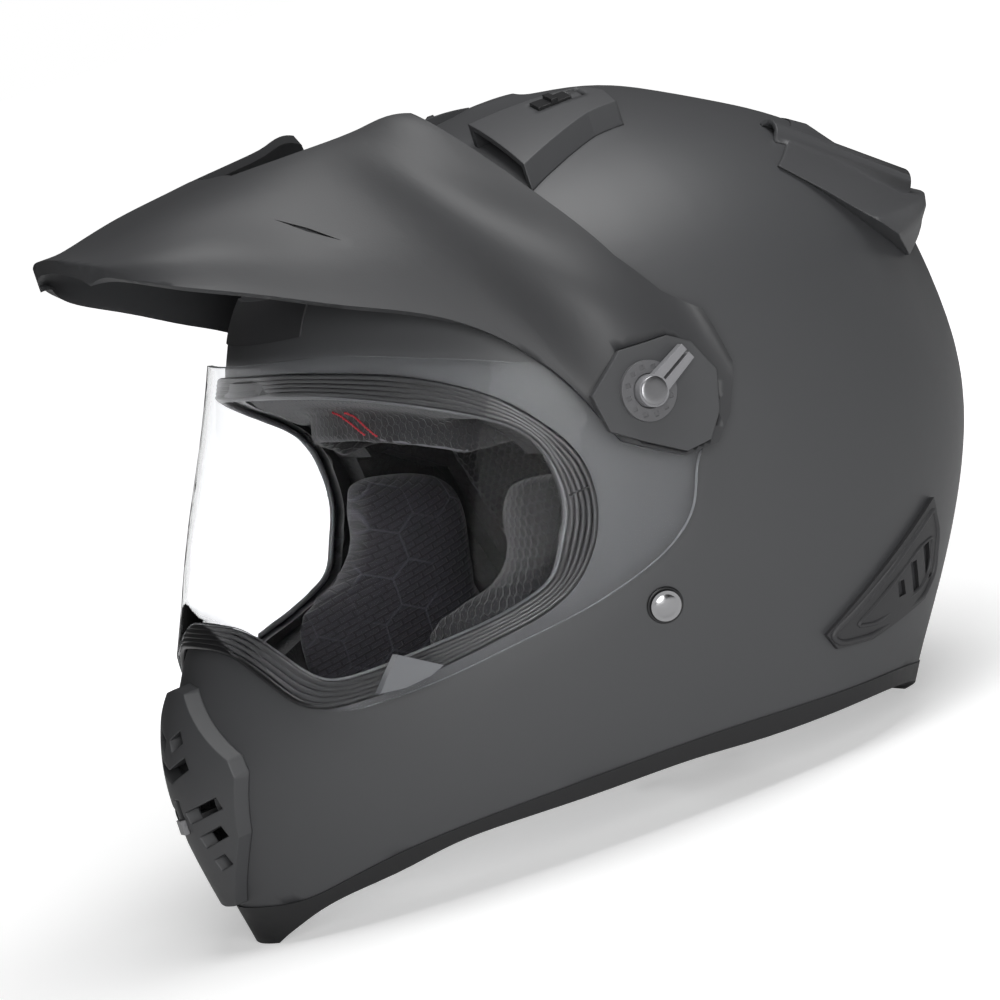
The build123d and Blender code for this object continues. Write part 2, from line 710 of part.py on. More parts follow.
def peak():
    sheet = peak_sheet() - peak_nose() - peak_opening()
    for i in range(1, relief_steps + 1):
        sheet -= shield_room(relief_turn * i / relief_steps)
    sheet &= side_prism(Face(Wire.make_polygon(side(peak_edge_shares), close=True)))
    sheet -= side_prism(Face(Wire.make_polygon(side(gill_shares), close=True)))
    seat = cover_outline(-cover_gap)
    reach = half_width + overrun
    for low, high in ((cover_seat, reach), (-reach, -cover_seat)):
        sheet -= side_prism(seat, low, high)
    bore = pivot_pin_radius + pivot_play
    return sheet - rod(bore, peak_pivot_forward, peak_pivot_height, -reach, reach)


def cover_outline(play):
    """The pivot cover's side outline, drawn in by play."""
    points = side(cover_shares)
    middle = sum(points, Vector()) * (1 / len(points))
    drawn = [p - (p - middle).normalized() * play for p in points]
    return Face(Wire.make_polygon(drawn, close=True))


def cover(sign):
    """The pivot cover plate let into the end of a peak arm."""
    top = cover_seat + cover_thickness
    plate = side_prism(cover_outline(0), cover_seat, top)
    plate -= rod(pivot_pin_radius + pivot_play, peak_pivot_forward, peak_pivot_height, 0, top + overrun)
    return sided(plate, sign)


def sided(shape, sign):
    """The piece itself on the rider's left, its mirror image on the right."""
    return shape if sign > 0 else across(shape)


def pivot_pin(sign):
    """The pin on the hub that the peak, its dial and the lever turn on."""
    low = hub_reach
    high = cover_seat + cover_thickness + dial_thickness
    return sided(rod(pivot_pin_radius, peak_pivot_forward, peak_pivot_height, low, high), sign)


def dial(sign):
    """The ring of marks round the lever."""
    low = cover_seat + cover_thickness
    ring = rod(dial_radius, peak_pivot_forward, peak_pivot_height, low, low + dial_thickness)
    ring -= rod(lever_hub_radius + running_gap, peak_pivot_forward, peak_pivot_height, low, low + dial_thickness)
    middle = (dial_radius + lever_hub_radius + running_gap) / 2
    half = dial_mark / 2
    x = low + dial_thickness
    for i in range(dial_marks):
        a = 2 * pi * i / dial_marks
        y = -peak_pivot_forward + middle * cos(a)
        z = peak_pivot_height + middle * sin(a)
        ring -= block((x - running_gap, y - half, z - half), (x + half, y + half, z + half))
    return sided(ring, sign)


def lever(sign):
    """The quick release lever: a hub on the pin's end and a two pronged arm."""
    low = cover_seat + cover_thickness
    high = low + dial_thickness + running_gap
    top = high + lever_thickness
    body = rod(lever_hub_radius, 0, 0, low + seat_gap, top)
    half = lever_width / 2
    arm_points = [Vector(high, 0, -half), Vector(high, lever_length, -half * lever_taper_share),
                  Vector(high, lever_length, half * lever_taper_share), Vector(high, 0, half)]
    arm = extrude(Face(Wire.make_polygon(arm_points, close=True)), amount=lever_thickness, dir=(1, 0, 0))
    slot = block((high, lever_hub_radius, -lever_slot / 2), (top, lever_length, lever_slot / 2))
    body = body + arm - slot
    body -= rod(pivot_pin_radius + pivot_play, 0, 0, 0, low + dial_thickness + seat_gap)
    turned = body.moved(Location((0, 0, 0), (lever_angle, 0, 0)))
    return sided(turned.moved(Location((0, -peak_pivot_forward, peak_pivot_height))), sign)


def mouth_outline():
    """The mouthpiece in front view, as across and height, all the way round."""
    low, rise = mouth_base, mouth_height
    right = [(x * mouth_half_width, low + z * rise) for x, z in mouth_shares]
    return right + [(-x, z) for x, z in right[-2:0:-1]]


def mouthpiece(seat):
    """The raised cover over the chin, with slanted slots and a slot for the slider."""
    middle = front_reach / 2
    face = front_prism(mouth_outline(), middle, front_reach + overrun)
    body = (form(-mouth_proud) & face) - seat
    for x, z, length, tilt in mouth_slot_shares:
        for sign in (1, -1):
            half = length * mouth_half_width / 2
            cut = block((-half, -front_reach - overrun, -slot_width / 2), (half, -middle, slot_width / 2))
            cut = cut.moved(Location((0, 0, 0), (0, -sign * tilt, 0)))
            place = (sign * x * mouth_half_width, 0, mouth_base + z * mouth_height)
            body -= cut.moved(Location(place))
    play = running_gap
    low = shutter_base + slider_rise - play
    body -= block((-slider_width / 2 - play, -front_reach - overrun, low),
                  (slider_width / 2 + play, -middle, low + slider_height + shutter_travel + 2 * play))
    return body


def shutter():
    """The plate that slides up and down in the chin's air way."""
    half = shutter_width / 2
    return block((-half, -shutter_forward - shutter_thickness, shutter_base),
                 (half, -shutter_forward, shutter_base + shutter_height))


def slider():
    """The small lever on the mouthpiece that carries the shutter."""
    low = shutter_base + slider_rise
    near = shutter_forward + shutter_thickness
    half = slider_width / 2
    stem = block((-half, -near - slider_reach, low), (half, -near, low + slider_height))
    grip = block((-half - running_gap, -near - slider_reach - half, low - running_gap),
                 (half + running_gap, -near - slider_reach, low + slider_height + running_gap))
    return stem + grip


def chin_filter():
    """The mesh block behind the shutter."""
    far = shutter_forward - running_gap
    return duct(far - filter_thickness, far, running_gap / 4)


def scoop(seat, sign):
    """A top vent housing, open to the front, with a seat for its switch."""
    low, high = 0.6 * shell_height, shell_height + overrun
    outside = (form(-scoop_proud) & scoop_prism(0, low, high)) - seat
    room = [Vector(x * half_width, -f * front_reach, low) for x, f in scoop_room_shares]
    room = extrude(Face(Wire.make_polygon(room, close=True)), amount=high - low, dir=(0, 0, 1))
    hollow = form(-scoop_proud + scoop_skin) & room
    body = outside - hollow
    half = switch_width / 2 + running_gap
    back = switch_travel + switch_length / 2 + running_gap
    seat = block((-half, -switch_length / 2 - running_gap, -switch_depth + switch_stand),
                 (half, back, overrun))
    return sided(body - seat.moved(switch_frame()), sign)


def switch(sign):
    """The sliding switch on top of a top vent housing."""
    bottom = -switch_depth + switch_stand + seat_gap / 6
    half = switch_width / 2
    plate = block((-half, -switch_length / 2, bottom), (half, switch_length / 2, switch_stand))
    ridge = block((-half, -switch_stand, switch_stand), (half, switch_stand, 2 * switch_stand))
    return sided((plate + ridge).moved(switch_frame()), sign)


def spoiler_skin():
    """The shell's form, lifted by a different step at each height."""
    wires = []
    for height, lift_share in spoiler_level_shares:
        lift = lift_share * spoiler_flick
        row = row_at(height)
        row[0] = height * shell_height / (shell_height + lift)
        wires.append(level(row, -lift))
    return Solid.make_loft(wires, ruled=True)


def spoiler_duct(radius, reach_share):
    """A round bar along the raised duct, from its front end backwards."""
    (x1, f1, z1), (x2, f2, z2) = spoiler_duct_shares
    start = Vector(x1 * half_width, -f1 * front_reach, z1 * shell_height)
    end = Vector(x2 * half_width, -f2 * front_reach, z2 * shell_height)
    way = end - start
    return Solid.make_cylinder(radius, way.length * reach_share, Plane(start, z_dir=way))


def spoiler(seat):
    """The raised air outlet at the back, with an arched opening on either side."""
    region = side_prism(Face(Wire.make_polygon(side(spoiler_shares), close=True)))
    shifted = form(-spoiler_edge).moved(Location((0, spoiler_flick - spoiler_edge, 0)))
    body = (spoiler_skin() & region) & shifted
    duct_bar = spoiler_duct(spoiler_duct_radius, 1)
    bore = spoiler_duct(spoiler_duct_radius - spoiler_duct_wall, 0.3)
    body = body + duct_bar + across(duct_bar)
    return body - bore - across(bore) - seat


def side_vent(seat, sign):
    """A rear side vent: a thin raised frame with three slots."""
    frame = side_prism(Face(Wire.make_polygon(side(side_vent_shares), close=True)), 0, half_width + overrun)
    body = (form(-side_vent_proud) & frame) - seat
    for forward, low, high in side_slot_shares:
        y = -forward * front_reach
        body -= block((0, y - side_slot / 2, low * shell_height),
                      (half_width + overrun, y + side_slot / 2, high * shell_height))
    return sided(body, sign)


def brow_plate(seat):
    """The bare plate above the eyeport, under the peak."""
    half = plate_half_width
    outline = [(-half, plate_base), (half, plate_base),
               (half, plate_base + plate_height), (-half, plate_base + plate_height)]
    return (form(-plate_proud) & front_prism(outline, front_reach / 2, front_reach)) - seat


def strap_turn():
    """How far the strap's plane is turned to lie square to the shell at its rivet."""
    normal = rivet_place(1).z_dir
    return degrees(atan2(normal.Y, normal.X))


def strap_place(share):
    """Across and forward place of a point on the left strap's middle line."""
    x = shell_width(strap_forward, rivet_height)
    along = share * half_width - x
    turn = radians(strap_turn())
    return x + along * cos(turn), strap_forward - along * sin(turn)


def strap(sign):
    """One chin strap, a band that hangs from its rivet and turns in under the chin."""
    turn = radians(strap_turn())
    sideways = Vector(-sin(turn), cos(turn), 0)
    shares = strap_shares if sign > 0 else strap_shares + strap_tail_shares
    places = [(*strap_place(share), z * shell_height) for share, z in shares]
    points = [Vector(x, -f, z) for x, f, z in places]
    outer, inner = [], []
    for i, p in enumerate(points):
        way = points[min(i + 1, len(points) - 1)] - points[max(i - 1, 0)]
        step = way.cross(sideways).normalized() * (strap_thickness / 2)
        outer.append(p + step - sideways * (strap_width / 2))
        inner.append(p - step - sideways * (strap_width / 2))
    edges = [Edge.make_spline(outer), Edge.make_line(outer[-1], inner[-1]),
             Edge.make_spline(inner[::-1]), Edge.make_line(inner[0], outer[0])]
    band = extrude(Face(Wire(edges)), amount=strap_width, dir=sideways)
    band &= form(trim_depth + seat_gap)
    plane = rivet_place(1)
    hole = Solid.make_cylinder(rivet_shank + pivot_play, 6 * shell_wall, plane)
    band -= hole.moved(Location(plane.z_dir * (-5 * shell_wall)))
    return sided(band, sign)


def rings():
    """Two rings at the left strap's end, one under and one over its last fold."""
    x, f = strap_place(strap_shares[-1][0])
    base = strap_shares[-1][1] * shell_height - strap_thickness / 2 - seat_gap - ring_wire
    found = []
    for i in range(2):
        low = base + i * (ring_wire + strap_thickness + 2 * seat_gap)
        outer = block((-ring_depth, -ring_outer / 2, low), (0, ring_outer / 2, low + ring_wire))
        wire = ring_wire
        inner = block((wire - ring_depth, wire - ring_outer / 2, low), (-wire, ring_outer / 2 - wire, low + wire))
        turned = (outer - inner).moved(Location((0, 0, 0), (0, 0, strap_turn())))
        found.append(turned.moved(Location((x, -f, 0))))
    return Compound(found)


def rivets():
    """Both strap rivets, each a crowned head, a shank and an inner washer."""
    found = []
    for sign in (1, -1):
        place = rivet_place(sign)
        plane = Plane(place.origin + place.z_dir * seat_gap, z_dir=place.z_dir)
        head = Solid.make_cylinder(rivet_radius, rivet_crown, plane)
        depth = trim_depth + 4 * seat_gap + strap_thickness + washer_thickness
        shank = Solid.make_cylinder(rivet_shank, depth, plane).moved(Location(plane.z_dir * -depth))
        washer = Solid.make_cylinder(washer_radius, washer_thickness, plane)
        washer = washer.moved(Location(plane.z_dir * -depth))
        found.append(head + shank + washer)
    return Compound(found)


pieces = {}


def main():
    skin = form(0)
    core = form(shell_wall)
    liner_outer = form(shell_wall + seat_gap)
    cavity = form(shell_wall + liner_wall)
    foam = lower_foam(liner_outer)
    layer = comfort_layer()
    seat = form(-seat_gap / 3)
    pieces["outer_shell"] = outer_shell(skin, core)
    pieces["base_trim"] = base_trim(skin)
    pieces["eyeport_seal"] = eyeport_seal(skin)
    pieces["impact_liner"] = impact_liner(liner_outer, cavity)
    pieces["chin_foam"] = chin_foam(foam)
    pieces["crown_pad"] = crown_pad(layer)
    pieces["brow_pad"] = brow_pad(layer)
    pieces["neck_roll"] = neck_roll()
    pieces["clear_shield"] = shield()
    pieces["shield_tab"] = shield_tab()
    pieces["peak"] = peak()
    pieces["rear_spoiler"] = spoiler(seat)
    pieces["brow_plate"] = brow_plate(seat)
    pieces["chin_mouthpiece"] = mouthpiece(seat)
    pieces["chin_shutter"] = shutter()
    pieces["chin_slider"] = slider()
    pieces["chin_filter"] = chin_filter()
    pieces["strap_rivets"] = rivets()
    pieces["strap_rings"] = rings()
    for name, sign in (("left", 1), ("right", -1)):
        pieces["cheek_foam_" + name] = cheek_foam(foam, sign)
        pieces["cheek_pad_" + name] = cheek_pad(sign)
        pieces["shield_hub_" + name] = hub(sign)
        pieces["peak_cover_" + name] = cover(sign)
        pieces["pivot_pin_" + name] = pivot_pin(sign)
        pieces["dial_ring_" + name] = dial(sign)
        pieces["release_lever_" + name] = lever(sign)
        pieces["top_vent_" + name] = scoop(seat, sign)
        pieces["top_vent_switch_" + name] = switch(sign)
        pieces["rear_side_vent_" + name] = side_vent(seat, sign)
        pieces["strap_" + name] = strap(sign)
    os.makedirs("parts", exist_ok=True)
    for name, shape in pieces.items():
        export_step(shape, "parts/" + name + ".step")


if __name__ == "__main__":
    main()
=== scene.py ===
import math

import bmesh
import bpy
from mathutils import Matrix, Vector
from mathutils.bvhtree import BVHTree


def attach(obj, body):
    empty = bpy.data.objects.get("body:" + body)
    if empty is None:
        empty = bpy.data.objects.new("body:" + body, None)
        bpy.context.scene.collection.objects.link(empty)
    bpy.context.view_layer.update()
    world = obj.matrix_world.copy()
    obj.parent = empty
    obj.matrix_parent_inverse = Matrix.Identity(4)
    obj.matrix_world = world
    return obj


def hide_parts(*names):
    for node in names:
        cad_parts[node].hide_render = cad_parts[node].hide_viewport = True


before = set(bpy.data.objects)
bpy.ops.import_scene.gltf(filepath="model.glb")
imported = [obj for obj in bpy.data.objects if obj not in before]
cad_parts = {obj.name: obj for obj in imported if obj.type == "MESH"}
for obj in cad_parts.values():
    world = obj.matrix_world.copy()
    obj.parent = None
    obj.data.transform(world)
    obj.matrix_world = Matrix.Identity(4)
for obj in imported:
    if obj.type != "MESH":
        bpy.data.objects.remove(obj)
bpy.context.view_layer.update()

bl_info = {
    "name": "Dual sport helmet",
    "version": (1, 0, 0),
    "blender": (4, 5, 0),
    "location": "3D View > Sidebar > Helmet",
    "description": "Dresses the packed helmet with paint, rubber, foam, cloth and hardware",
    "category": "Object",
}

MM = 0.001

# Height, half width, front reach and back reach of the shell's form, in millimetres
SHELL_HEIGHT, HALF_WIDTH, FRONT_REACH, BACK_REACH = 278.5, 129.0, 218.0, 144.0

# Height, half width, front, back and the two powers of each level of the shell,
# as shares of its height, half width, front reach and back reach
FORM_SHARES = [
    (0.000, 0.790, 0.960, 0.535, 1.75, 2.10),
    (0.108, 0.860, 0.986, 0.675, 1.75, 2.15),
    (0.215, 0.922, 1.000, 0.820, 1.75, 2.20),
    (0.323, 0.969, 0.972, 0.930, 1.75, 2.25),
    (0.431, 0.992, 0.885, 0.993, 1.80, 2.25),
    (0.539, 1.000, 0.789, 1.000, 1.85, 2.20),
    (0.646, 0.992, 0.716, 0.965, 1.95, 2.20),
    (0.736, 0.946, 0.651, 0.903, 2.05, 2.15),
    (0.826, 0.822, 0.596, 0.778, 2.10, 2.10),
    (0.898, 0.651, 0.486, 0.569, 2.10, 2.05),
    (0.948, 0.465, 0.358, 0.389, 2.05, 2.00),
    (0.980, 0.279, 0.229, 0.222, 2.00, 2.00),
    (1.000, 0.062, 0.064, 0.042, 2.00, 2.00),
]

# Forward and height of the eyeport's outer and inner line, seen from the side, in millimetres
PORT_OUTER = [(140, 208.5), (134, 206.5), (112.5, 197), (93, 183), (80, 168.5), (70, 151),
              (69, 133), (74, 118.5), (84, 106), (97.5, 99), (115, 95.5), (135, 92), (159, 88.5),
              (174.5, 88.5), (183, 92), (188.5, 104), (193, 116), (202, 121.5)]
PORT_INNER = [(142, 202), (132, 198), (112, 187), (90, 172.5), (80, 160), (77, 144),
              (78.5, 131), (83.5, 121), (90.5, 109), (101.5, 104), (117, 100.5), (138, 98),
              (160, 95.5), (172, 96), (178, 102), (183, 113), (188, 123), (202, 127.5)]


# How far the ribs' middle lines, the seal's inner lip, its joint line and a vent's rim stand
# off the shell's form, in millimetres, and where each rib lies across the seal
RIB_LIFT, LIP_LIFT, JOINT_LIFT, RIM_LIFT = 1.9, 0.4, 3.4, 3.1
RIB_SHARES = (0.04, 0.27, 0.50, 0.73, 0.96)
LIP_SHARE = -0.10

# Radii and heights of small round trim, in metres
THREAD_RADIUS, PIPING_RADIUS, JOINT_RADIUS = 0.00035, 0.0005, 0.00035
RIM_RADIUS, RIDGE_RADIUS = 0.0013, 0.0009
DISC_RADIUS, DISC_RISE, HUB_REACH = 0.0055, 0.0006, 0.0064
RIVET_RADIUS, RIVET_RISE, DARK_RING_LINE, DARK_RING_RADIUS = 0.0061, 0.0026, 0.0066, 0.0007

# The camera: its target and distance in metres, its turn, the helmet's pitch and its lens
TARGET, DISTANCE = (0, -0.0542, 0.1273), 1.8
TURN_DEG, PITCH_DEG, LENS_MM, SENSOR_MM = 25, 20, 162, 36

# What the lamps point at, and each lamp's place and size, in metres
LAMP_AIM = (0, -0.05, 0.14)
LAMPS = (("key", (0.34, 0.16, 1.55), 1.1), ("back", (-0.20, 1.40, 0.35), 0.7),
         ("chin", (1.60, -0.58, 0.45), 1.0))

# Forward and height of the pivots, of the strap rivets and of the seal's joint, in millimetres
PIVOT = (45.0, 167.1)
RIVET = (54.6, 85.3)
SEAL_JOINT = [(70.2, 138.5), (72.0, 138.3), (74.0, 138.1), (76.0, 137.9), (78.0, 137.7)]

# Forward and height of the rear side vent's outline and of its inner ridge, in millimetres
VENT_RIM = [(-7.6, 49.2), (-11.4, 44.6), (-27.0, 41.8), (-61.0, 45.8), (-69.6, 52.2), (-74.3, 68.0),
            (-72.8, 78.0), (-62.0, 73.0), (-40.0, 62.5), (-20.0, 53.8)]
VENT_RIDGE = [(-20.0, 48.4), (-30.0, 45.9), (-59.0, 49.6), (-66.2, 54.6), (-70.2, 67.5), (-60.0, 66.0),
              (-40.0, 57.0)]

# Forward, across and height of the two rows of stitches down the brow pad, in millimetres
STITCH_ROWS = [((112.3, 9.5, 186.5), (111.8, 27.5, 174.7)), ((110.9, 17.5, 185.9), (109.8, 33.0, 173.2))]
STITCHES = 13

# Forward, across and height of the piping along the brow pad's lower edge, in millimetres
PIPING = [(110.2, 33.5, 171.2), (105.5, 41.5, 168.6), (99.3, 49.3, 165.1), (93.1, 57.0, 161.5),
          (88.2, 63.4, 158.8)]


# Settings

class HelmetColours(bpy.types.PropertyGroup):
    paint: bpy.props.FloatVectorProperty(
        name="Paint", description="Matte paint of the shell and the peak",
        default=(0.057, 0.058, 0.061), size=3, min=0, max=1, subtype="COLOR")
    plastic: bpy.props.FloatVectorProperty(
        name="Plastic", description="Black moulded plastic of vents and levers",
        default=(0.016, 0.016, 0.017), size=3, min=0, max=1, subtype="COLOR")
    rubber: bpy.props.FloatVectorProperty(
        name="Rubber", description="Rubber of the edge trim and the eyeport seal",
        default=(0.010, 0.010, 0.011), size=3, min=0, max=1, subtype="COLOR")
    cloth: bpy.props.FloatVectorProperty(
        name="Cloth", description="Dark mesh cloth of the lining",
        default=(0.009, 0.009, 0.010), size=3, min=0, max=1, subtype="COLOR")
    cheek_cloth: bpy.props.FloatVectorProperty(
        name="Cheek cloth", description="Brushed cloth of the cheek pads",
        default=(0.021, 0.020, 0.026), size=3, min=0, max=1, subtype="COLOR")
    thread: bpy.props.FloatVectorProperty(
        name="Thread", description="Red stitching on the brow pad",
        default=(0.45, 0.012, 0.025), size=3, min=0, max=1, subtype="COLOR")


class HelmetSizes(bpy.types.PropertyGroup):
    rib: bpy.props.FloatProperty(
        name="Seal rib", description="Radius of one rib of the eyeport seal",
        default=0.0014, min=0.0005, max=0.003, unit="LENGTH", subtype="DISTANCE")
    swell: bpy.props.FloatProperty(
        name="Pad swell", description="How far a cheek pad may swell from its own form",
        default=0.005, min=0, max=0.012, unit="LENGTH", subtype="DISTANCE")
    voxel: bpy.props.FloatProperty(
        name="Pad detail", description="Size of the cells a pad is rebuilt from",
        default=0.0045, min=0.003, max=0.01, unit="LENGTH", subtype="DISTANCE")


class HelmetLight(bpy.types.PropertyGroup):
    key: bpy.props.FloatProperty(
        name="Key", description="Power of the large lamp above the helmet",
        default=19.0, min=0, max=200, unit="POWER")
    back: bpy.props.FloatProperty(
        name="Back", description="Power of the lamp behind the helmet",
        default=0.6, min=0, max=200, unit="POWER")
    chin: bpy.props.FloatProperty(
        name="Chin", description="Power of the lamp in front of the chin",
        default=19.0, min=0, max=200, unit="POWER")
    room: bpy.props.FloatProperty(
        name="Room", description="Brightness of the room on the object",
        default=0.05, min=0, max=2, subtype="FACTOR")


# The form

def level_at(height, lift):
    """Half width, front, back and powers of the shell's form at a height, lifted outwards."""
    share = min(max(height / (SHELL_HEIGHT + lift), 0.0), 1.0)
    for low, high in zip(FORM_SHARES, FORM_SHARES[1:]):
        if share <= high[0]:
            t = (share - low[0]) / (high[0] - low[0])
            row = [a + (b - a) * t for a, b in zip(low, high)]
            break
    return (row[1] * (HALF_WIDTH + lift), row[2] * (FRONT_REACH + lift), row[3] * (BACK_REACH + lift),
            row[4], row[5])


def across_at(forward, height, lift=0.0):
    """Half width in millimetres of the lifted form at a place on its side."""
    half, ahead, behind, front_power, back_power = level_at(height, lift)
    reach, power = (ahead, front_power) if forward >= 0 else (behind, back_power)
    rest = 1 - (abs(forward) / reach) ** power
    return half * rest ** (1 / power) if rest > 0 else 0.0


def smooth_line(points, steps):
    """Points of a smooth line through a few places."""
    found = []
    last = len(points) - 1
    for i in range(last):
        p0, p1 = points[max(i - 1, 0)], points[i]
        p2, p3 = points[i + 1], points[min(i + 2, last)]
        for k in range(steps):
            t = k / steps
            found.append(tuple(0.5 * (2 * b + (c - a) * t + (2 * a - 5 * b + 4 * c - d) * t * t
                                      + (3 * b - a - 3 * c + d) * t ** 3)
                               for a, b, c, d in zip(p0, p1, p2, p3)))
    return found + [tuple(points[last])]


def even_line(points, step, closed=True):
    """The same line with its points a steady step apart."""
    run = points + [points[0]] if closed else points
    lengths = [(b - a).length for a, b in zip(run, run[1:])]
    total = sum(lengths)
    count = max(int(total / step), 8)
    found, i, used = [], 0, 0.0
    for k in range(count if closed else count + 1):
        want = total * k / count
        while i < len(lengths) - 1 and used + lengths[i] < want:
            used += lengths[i]
            i += 1
        t = (want - used) / lengths[i] if lengths[i] else 0
        found.append(run[i].lerp(run[i + 1], min(t, 1)))
    return found


def port_loop(share, lift, step=0.003):
    """A closed line round the eyeport, between its inner line (0) and its outer line (1)."""
    pairs = [(a + (c - a) * share, b + (d - b) * share)
             for (a, b), (c, d) in zip(PORT_INNER, PORT_OUTER)]
    left = []
    for f, z in smooth_line(pairs, 24):
        x = across_at(f, z, lift)
        if x > 0:
            left.append(Vector((x, -f, z)) * MM)
    top, low = left[0], left[-1]
    left = [Vector((0, top.y, top.z))] + left + [Vector((0, low.y, low.z))]
    right = [Vector((-p.x, p.y, p.z)) for p in left[-2:0:-1]]
    loop = even_line(left + right, step)
    for _ in range(3):
        loop = [(loop[i - 1] + loop[i] * 2 + loop[(i + 1) % len(loop)]) / 4 for i in range(len(loop))]
    return loop


# Pieces

def link(name, mesh):
    """A new object in the scene, at the origin."""
    piece = bpy.data.objects.new(name, mesh)
    bpy.context.scene.collection.objects.link(piece)
    return piece


def from_bmesh(name, bm, sharp=35.0):
    """A smooth shaded object from a bmesh, with its sharp edges kept."""
    mesh = bpy.data.meshes.new(name)
    for face in bm.faces:
        face.smooth = True
    bm.to_mesh(mesh)
    bm.free()
    mesh.set_sharp_from_angle(angle=math.radians(sharp))
    return link(name, mesh)


def merged(node, name, sharp=28.0):
    """A merged, smooth shaded copy of a CAD node's mesh."""
    bm = bmesh.new()
    bm.from_mesh(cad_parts[node].data)
    bmesh.ops.remove_doubles(bm, verts=bm.verts, dist=0.00002)
    return from_bmesh(name, bm, sharp)


def dress(piece, body, material, *nodes, slot=None):
    """Gives a piece its material and its body, and hides the CAD nodes it stands for."""
    piece.data.materials.clear()
    piece.data.materials.append(material)
    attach(piece, body)
    if nodes:
        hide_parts(*nodes)
    return piece


def finish_node(node, material):
    """Gives a CAD node that stays its own material."""
    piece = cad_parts[node]
    piece.data.materials.clear()
    piece.data.materials.append(material)


def tube(name, lines, radius, closed=True, sides=3):
    """Round cords of one radius along smooth lines, as one mesh."""
    curve = bpy.data.curves.new(name, "CURVE")
    curve.dimensions = "3D"
    curve.bevel_depth = radius
    curve.bevel_resolution = sides
    curve.use_fill_caps = not closed
    for line in lines:
        spline = curve.splines.new("POLY")
        spline.points.add(len(line) - 1)
        for point, place in zip(spline.points, line):
            point.co = (*place, 1)
        spline.use_cyclic_u = closed
    holder = bpy.data.objects.new(name, curve)
    bpy.context.scene.collection.objects.link(holder)
    mesh = bpy.data.meshes.new_from_object(holder.evaluated_get(bpy.context.evaluated_depsgraph_get()))
    bpy.data.objects.remove(holder)
    bm = bmesh.new()
    bm.from_mesh(mesh)
    bpy.data.meshes.remove(mesh)
    bmesh.ops.remove_doubles(bm, verts=bm.verts, dist=0.000002)
    bmesh.ops.recalc_face_normals(bm, faces=bm.faces)
    return from_bmesh(name, bm, 60.0)


def facing(forward, height, side, lift=0.0):
    """A place on the side of the lifted form in metres, and which way its surface faces."""
    step = 0.5
    x = across_at(forward, height, lift)
    slope = (across_at(forward + step, height, lift) - x) / step
    rise = (across_at(forward, height + step, lift) - x) / step
    normal = Vector((side, slope, -rise)).normalized()
    return Vector((side * x, -forward, height)) * MM, normal


def loop_on_form(points, side, lift):
    """A smooth closed line on the side of the lifted form through forward and height places."""
    line = [Vector((side * across_at(f, z, lift), -f, z)) * MM for f, z in points]
    line = even_line(line, 0.0015)
    for _ in range(4):
        line = [(line[i - 1] + line[i] * 2 + line[(i + 1) % len(line)]) / 4 for i in range(len(line))]
    return line


def add_dome(bm, place, axis, radius, height, power=2.0):
    """A crowned disc, its profile spun about its axis: flat in the middle for a high power."""
    spot = Matrix.Translation(place) @ axis.to_track_quat("Z", "Y").to_matrix().to_4x4()
    profile = [bm.verts.new(spot.translation)]
    for i in range(9, -1, -1):
        share = math.sin(i / 9 * math.pi / 2)
        rise = height * math.sqrt(max(1 - share ** power, 0))
        profile.append(bm.verts.new(spot @ Vector((radius * share, 0, rise))))
    edges = [bm.edges.new(pair) for pair in zip(profile, profile[1:])]
    bmesh.ops.spin(bm, geom=profile + edges, cent=place, axis=axis.normalized(),
                   angle=2 * math.pi, steps=56, use_merge=True)
    bmesh.ops.remove_doubles(bm, verts=bm.verts, dist=0.000005)
    bmesh.ops.recalc_face_normals(bm, faces=bm.faces)


def apply_modifiers(piece):
    """The piece with its modifiers made part of its mesh."""
    graph = bpy.context.evaluated_depsgraph_get()
    mesh = bpy.data.meshes.new_from_object(piece.evaluated_get(graph))
    old = piece.data
    piece.modifiers.clear()
    piece.data = mesh
    bpy.data.meshes.remove(old)


# Materials

def group(name, inputs, outputs):
    """An empty shader node group with named sockets."""
    tree = bpy.data.node_groups.new(name, "ShaderNodeTree")
    for label, kind, value in inputs:
        socket = tree.interface.new_socket(name=label, in_out="INPUT", socket_type="NodeSocket" + kind)
        if value is not None:
            socket.default_value = value
    for label, kind in outputs:
        tree.interface.new_socket(name=label, in_out="OUTPUT", socket_type="NodeSocket" + kind)
    return tree, tree.nodes.new("NodeGroupInput"), tree.nodes.new("NodeGroupOutput")


def node(tree, kind, links=(), **settings):
    """A node with its settings, and links or values given by socket."""
    made = tree.nodes.new("ShaderNode" + kind)
    for key, value in settings.items():
        setattr(made, key, value)
    for socket, value in links:
        target = made.inputs[socket]
        if isinstance(value, bpy.types.NodeSocket):
            tree.links.new(value, target)
        else:
            target.default_value = value
    return made


